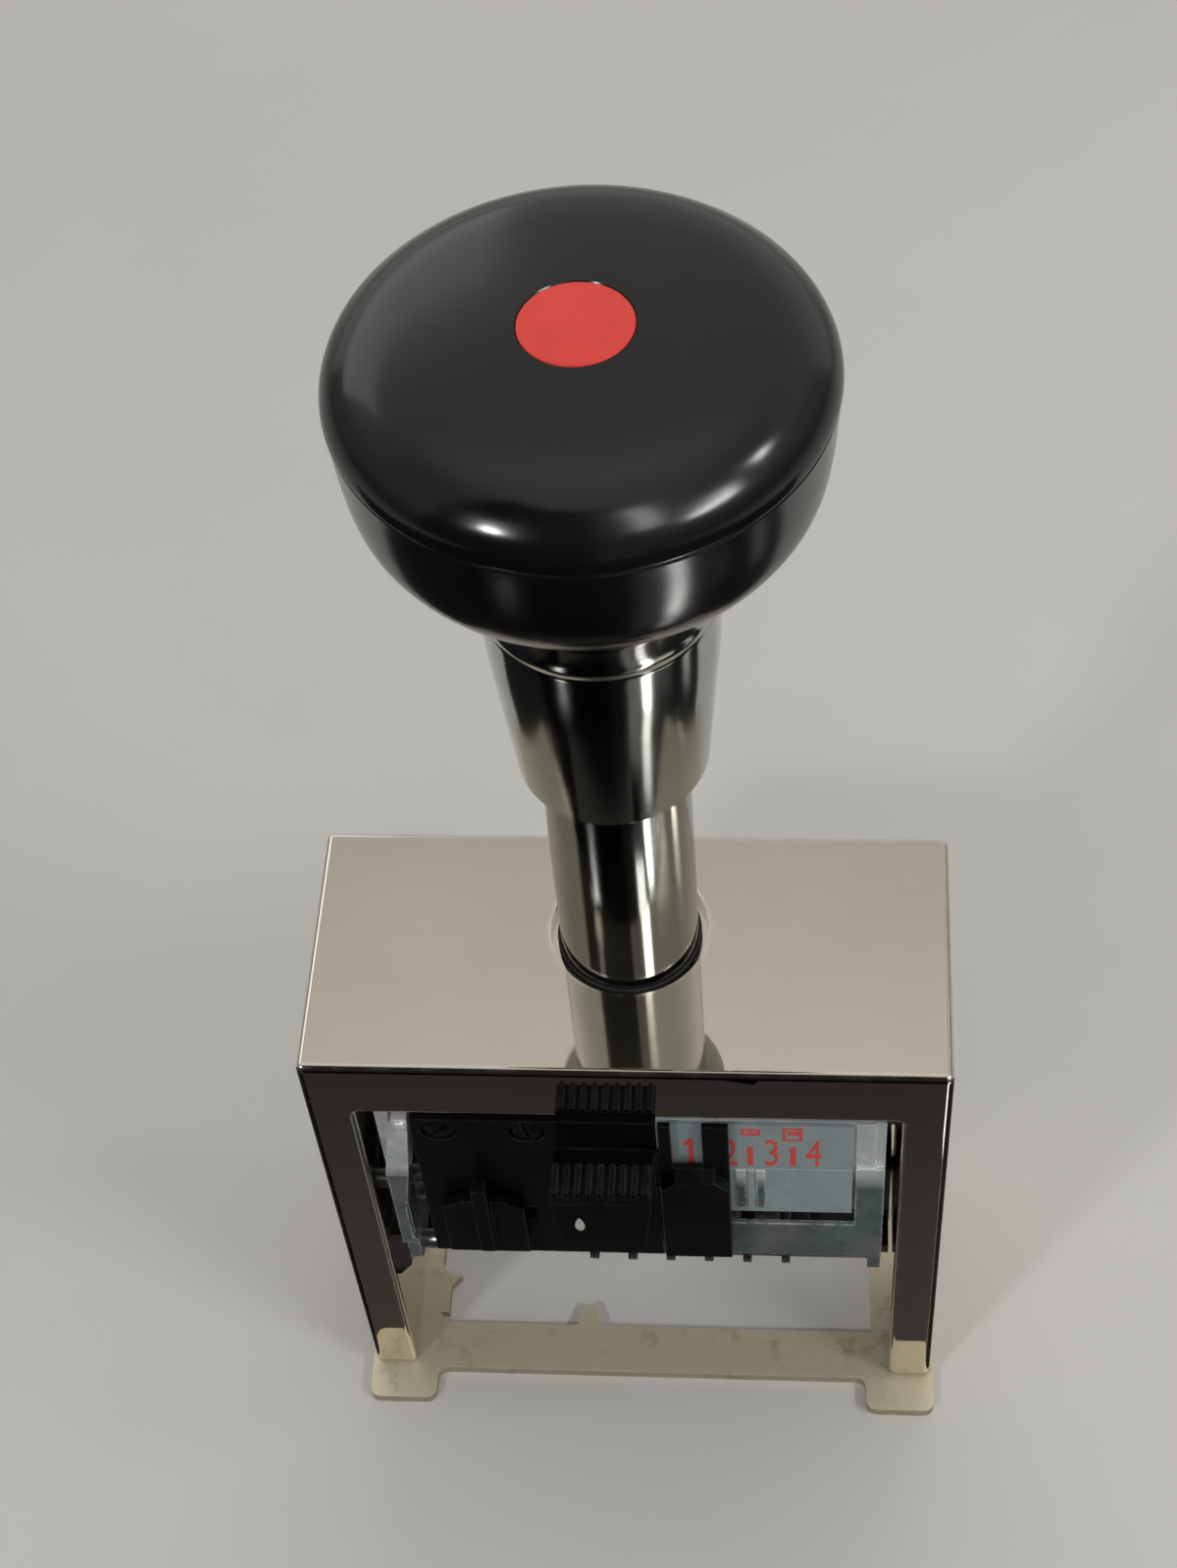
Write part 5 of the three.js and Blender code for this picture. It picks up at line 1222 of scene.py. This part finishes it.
# Two thin pale bluish tabs with round lower ends, and a grey bead between them.
for number, (place, wide) in enumerate(((12.2, 1.25), (14.4, 1.1)), 1):
    on_scale(f"scale_tab_{number}", tab_mesh(wide, TAB_TALL, 0.12), place, TAB_MID, zinc)
on_scale("scale_bead", tab_mesh(0.85, TAB_TALL, 0.22), 13.35, TAB_MID, scale_grey)
print("tabs", round(TAB_TALL, 2), "mm tall")

# %% [markdown]
# ## The slides
# The black selector slides along the scale. A ribbed thumb block stands out
# from it, and a shoulder frames its window. A small pale drop on the block
# marks its middle. The smaller slide at the left has a single ridge.

# %% Selector and small slide
selector = stands_for(from_cad("selector_slide", 0.17, 3), "selector_slide", satin_black)
small_slide = stands_for(from_cad("zero_slide", 0.2, 3), "zero_slide", satin_black)


def drop_mesh(width, height, thick, steps=28):
    """A drop with a pointed top, as a crowned closed mesh."""
    outline = []
    for k in range(steps):
        a = 2 * math.pi * k / steps
        taper = 0.5 + 0.5 * math.cos(a)
        outline.append((width / 2 * math.sin(a) * (1 - 0.55 * taper**2), height / 2 * math.cos(a)))
    return prism_mesh(outline, thick, 0.8, 0.86)


on_face("thumb_mark", drop_mesh(1.25, 2.9, 0.06), -5.19, 54.7, -23.24, white_paint, "selector")
print("slides ready:", len(selector.data.polygons), "and", len(small_slide.data.polygons), "faces")

# %% [markdown]
# ## Floor, cards and light
# A polished metal shows the room, so the room is part of its finish. The
# floor is pale, and the world is bright overhead and dim near the horizon,
# as in a room with a lit ceiling. A sheet of black glass lies round the
# machine and a dark curtain stands in an arc in front, as a photographer
# lays black paper near chrome: only reflections see them. They draw the dark
# core down the tube. Narrow bright cards beside them draw the line of light
# that runs down collar and tube next to the core.

# %% World and floor
scene = bpy.context.scene
scene.view_settings.view_transform = "Standard"
world = bpy.data.worlds.new("studio")
scene.world = world
world.use_nodes = True
sky = world.node_tree.nodes["Background"]
direction = put(world.node_tree, "ShaderNodeTexCoord")
heights = put(world.node_tree, "ShaderNodeSeparateXYZ", {0: direction.outputs["Generated"]})
ramp = put(world.node_tree, "ShaderNodeValToRGB", {"Fac": heights.outputs["Z"]})
SKY_LEVELS = [(0, 0.15), (0.25, 0.30), (0.5, 0.51), (0.8, 0.51), (1, 1.0)]
stops = ramp.color_ramp.elements
for place, level in SKY_LEVELS:
    stop = stops[0] if place == 0 else stops[-1] if place == 1 else stops.new(place)
    stop.color = (level, 0.985 * level, 0.93 * level, 1)
world.node_tree.links.new(ramp.outputs["Color"], sky.inputs["Color"])
to_back = ranged(world.node_tree, heights.outputs["Y"], 0.0, 0.4, 0.68, 1.0)
world.node_tree.links.new(to_back, sky.inputs["Strength"])

floor_finish = Finish("floor_paper", Specular_IOR_Level=0.1)
paper_tone = floor_finish.effect("patches", Scale=6, Seed=20, Low=0.3, High=0.7)
floor_finish.colour(paper_tone, (0.64, 0.63, 0.61), (0.60, 0.59, 0.575))
floor_finish.shader.inputs["Roughness"].default_value = 0.8


def stage_card(name, corners, finish):
    """A flat piece of the stage from its corners in millimetres."""
    mesh = bpy.data.meshes.new(name)
    mesh.from_pydata([Vector(c) * MM for c in corners], [], [tuple(range(len(corners)))])
    card = bpy.data.objects.new(name, mesh)
    card.data.materials.append(finish)
    scene.collection.objects.link(card)
    return card


FLOOR_HALF = 3000
stage_card("floor", [(-FLOOR_HALF, -FLOOR_HALF, 0), (FLOOR_HALF, -FLOOR_HALF, 0),
                     (FLOOR_HALF, FLOOR_HALF, 0), (-FLOOR_HALF, FLOOR_HALF, 0)], floor_finish.material)
print("stage floor laid")

# %% Cards that only reflections see
def dark_card(name, glow, mirror=0.0, tint=(1.0, 0.93, 0.85)):
    """A glossy black card that glows with a tone of its own, faint or bright: a painted reflection, a
    glowing panel that is no lamp.
    """
    material = bpy.data.materials.new(name)
    material.use_nodes = True
    shader = material.node_tree.nodes["Principled BSDF"]
    for label, value in {"Base Color": (0, 0, 0, 1), "Roughness": 0.1, "Specular IOR Level": mirror,
                         "Emission Color": (*tint, 1), "Emission Strength": glow}.items():
        shader.inputs[label].default_value = value
    return material


def fading_card(name, near, far, mirror):
    """A painted reflection card whose glow fades between two (place along y, glow) pairs."""
    material = dark_card(name, 1.0, mirror)
    tree = material.node_tree
    split = put(tree, "ShaderNodeSeparateXYZ", {0: own_place(tree)})
    fade = ranged(tree, split.outputs["Y"], far[0] * MM, near[0] * MM, far[1], near[1])
    tree.links.new(fade, tree.nodes["Principled BSDF"].inputs["Emission Strength"])
    return material


def hide_from_all_but_mirrors(card):
    for kind in ("camera", "diffuse", "shadow", "transmission"):
        setattr(card, "visible_" + kind, False)
    return card


def reflected_card(name, corners, material):
    return hide_from_all_but_mirrors(stage_card(name, corners, material))


CARD_SIDE, CARD_BACK = 400, 30
near_glass = fading_card("near_card", (-16, 0.058), (-63, 0.03), 0.4)
reflected_card("near_card", [(-53, -63, 0.3), (41, -63, 0.3), (36, -16.2, 0.3), (-36, -16.2, 0.3)],
               near_glass)
reflected_card("far_card", [(-1500, -2400, 0.2), (1500, -2400, 0.2), (CARD_SIDE, -60, 0.2),
                            (CARD_SIDE, CARD_BACK, 0.2), (-CARD_SIDE, CARD_BACK, 0.2),
                            (-CARD_SIDE, -60, 0.2)], dark_card("far_card", 0.0, 0.4))
reflected_card("back_card", [(-3000, 2400, 0), (3000, 2400, 0), (3000, 2400, 1500), (-3000, 2400, 1500)],
               dark_card("back_card", 0.6, tint=(1.0, 0.98, 0.94)))
# Painted reflections: the strip, tube and patch cards glow though they are no lamps, and draw bright streaks
# and patches on the collar, tube and knob.
reflected_card("strip_card", [(43, -52, 0.4), (51, -44, 0.4), (66.9, -57.7, 0.4), (57.9, -66.7, 0.4)],
               dark_card("strip_card", 2.2, tint=(1.0, 0.98, 0.95)))
tube_card = reflected_card("tube_card", [
    (9.3, -21.9, 65), (13.8, -21.2, 65), (20.5, -29.5, 65), (14.6, -32.9, 65),
], dark_card("tube_card", 2.4, tint=(1.0, 0.99, 0.97)))
# The tube card lights the tube alone, so its painted streak shows on the tube only.
tube_card.light_linking.receiver_collection = bpy.data.collections.new("only_the_tube")
tube_card.light_linking.receiver_collection.objects.link(tube)
reflected_card("patch_card", [(60, -71, 0.4), (68.4, -62, 0.4), (99, -88, 0.4), (87, -100, 0.4)],
               dark_card("patch_card", 9.0, tint=(1.0, 0.98, 0.95)))


def curtain(name, turns, heights, reach, material, steps=12):
    """A curtain on part of a sphere, between turns from the front and heights, in degrees."""
    bm = bmesh.new()
    rows = []
    for i in range(steps + 1):
        h = math.radians(heights[0] + (heights[1] - heights[0]) * i / steps)
        turned_by = (math.radians(turns[0] + (turns[1] - turns[0]) * k / steps) for k in range(steps + 1))
        rows.append([bm.verts.new((reach * math.sin(t) * math.cos(h), -reach * math.cos(t) * math.cos(h),
                                   reach * math.sin(h))) for t in turned_by])
    join_rings(bm, rows, closed=False)
    card = new_piece(name, bm)
    card.data.materials.append(material)
    return hide_from_all_but_mirrors(card)


# Painted reflections on arcs: a dark curtain in front, a dim glowing one beside it, a bright glowing streak,
# and a pale glowing sheen for the knob, behind on the left.
curtain("curtain_card", (-62, 8), (0, 72), 1500, dark_card("curtain_card", 0.02))
curtain("dusk_card", (8, 26), (0, 72), 1500, dark_card("dusk_card", 0.18, tint=(1.0, 0.99, 0.92)))
curtain("streak_card", (26, 38), (46, 66), 1500, dark_card("streak_card", 6.5, tint=(1.0, 0.99, 0.97)))
curtain("knob_sheen_card", (-168, -120), (18, 44), 1500, dark_card("knob_sheen_card", 1.3, tint=(0.97, 0.99, 1.0)))
print("reflected cards placed")

# %% Lamps
def soft_lamp(name, turn, height, reach, size, power, mirrored=True):
    """An area lamp aimed at the machine. Its turn is in degrees from the front to the right."""
    data = bpy.data.lights.new(name, "AREA")
    data.shape = "RECTANGLE"
    data.size, data.size_y = (length * MM for length in size)
    data.energy = power
    lamp = bpy.data.objects.new(name, data)
    scene.collection.objects.link(lamp)
    t, h = math.radians(turn), math.radians(height)
    away = Vector((math.sin(t) * math.cos(h), -math.cos(t) * math.cos(h), math.sin(h)))
    lamp.location = (Vector((0, 0, 80)) + away * reach) * MM
    lamp.rotation_euler = (-away).to_track_quat("-Z", "Y").to_euler()
    lamp.visible_glossy = mirrored
    return lamp


soft_lamp("right_lamp", 60, 40, 850, (260, 70), 1.5)
soft_lamp("left_lamp", -38, 42, 850, (80, 50), 1.2)
soft_lamp("side_lamp", 92, 42, 850, (90, 90), 0.5)
soft_lamp("back_lamp", 175, 50, 950, (500, 500), 1.2, mirrored=False)
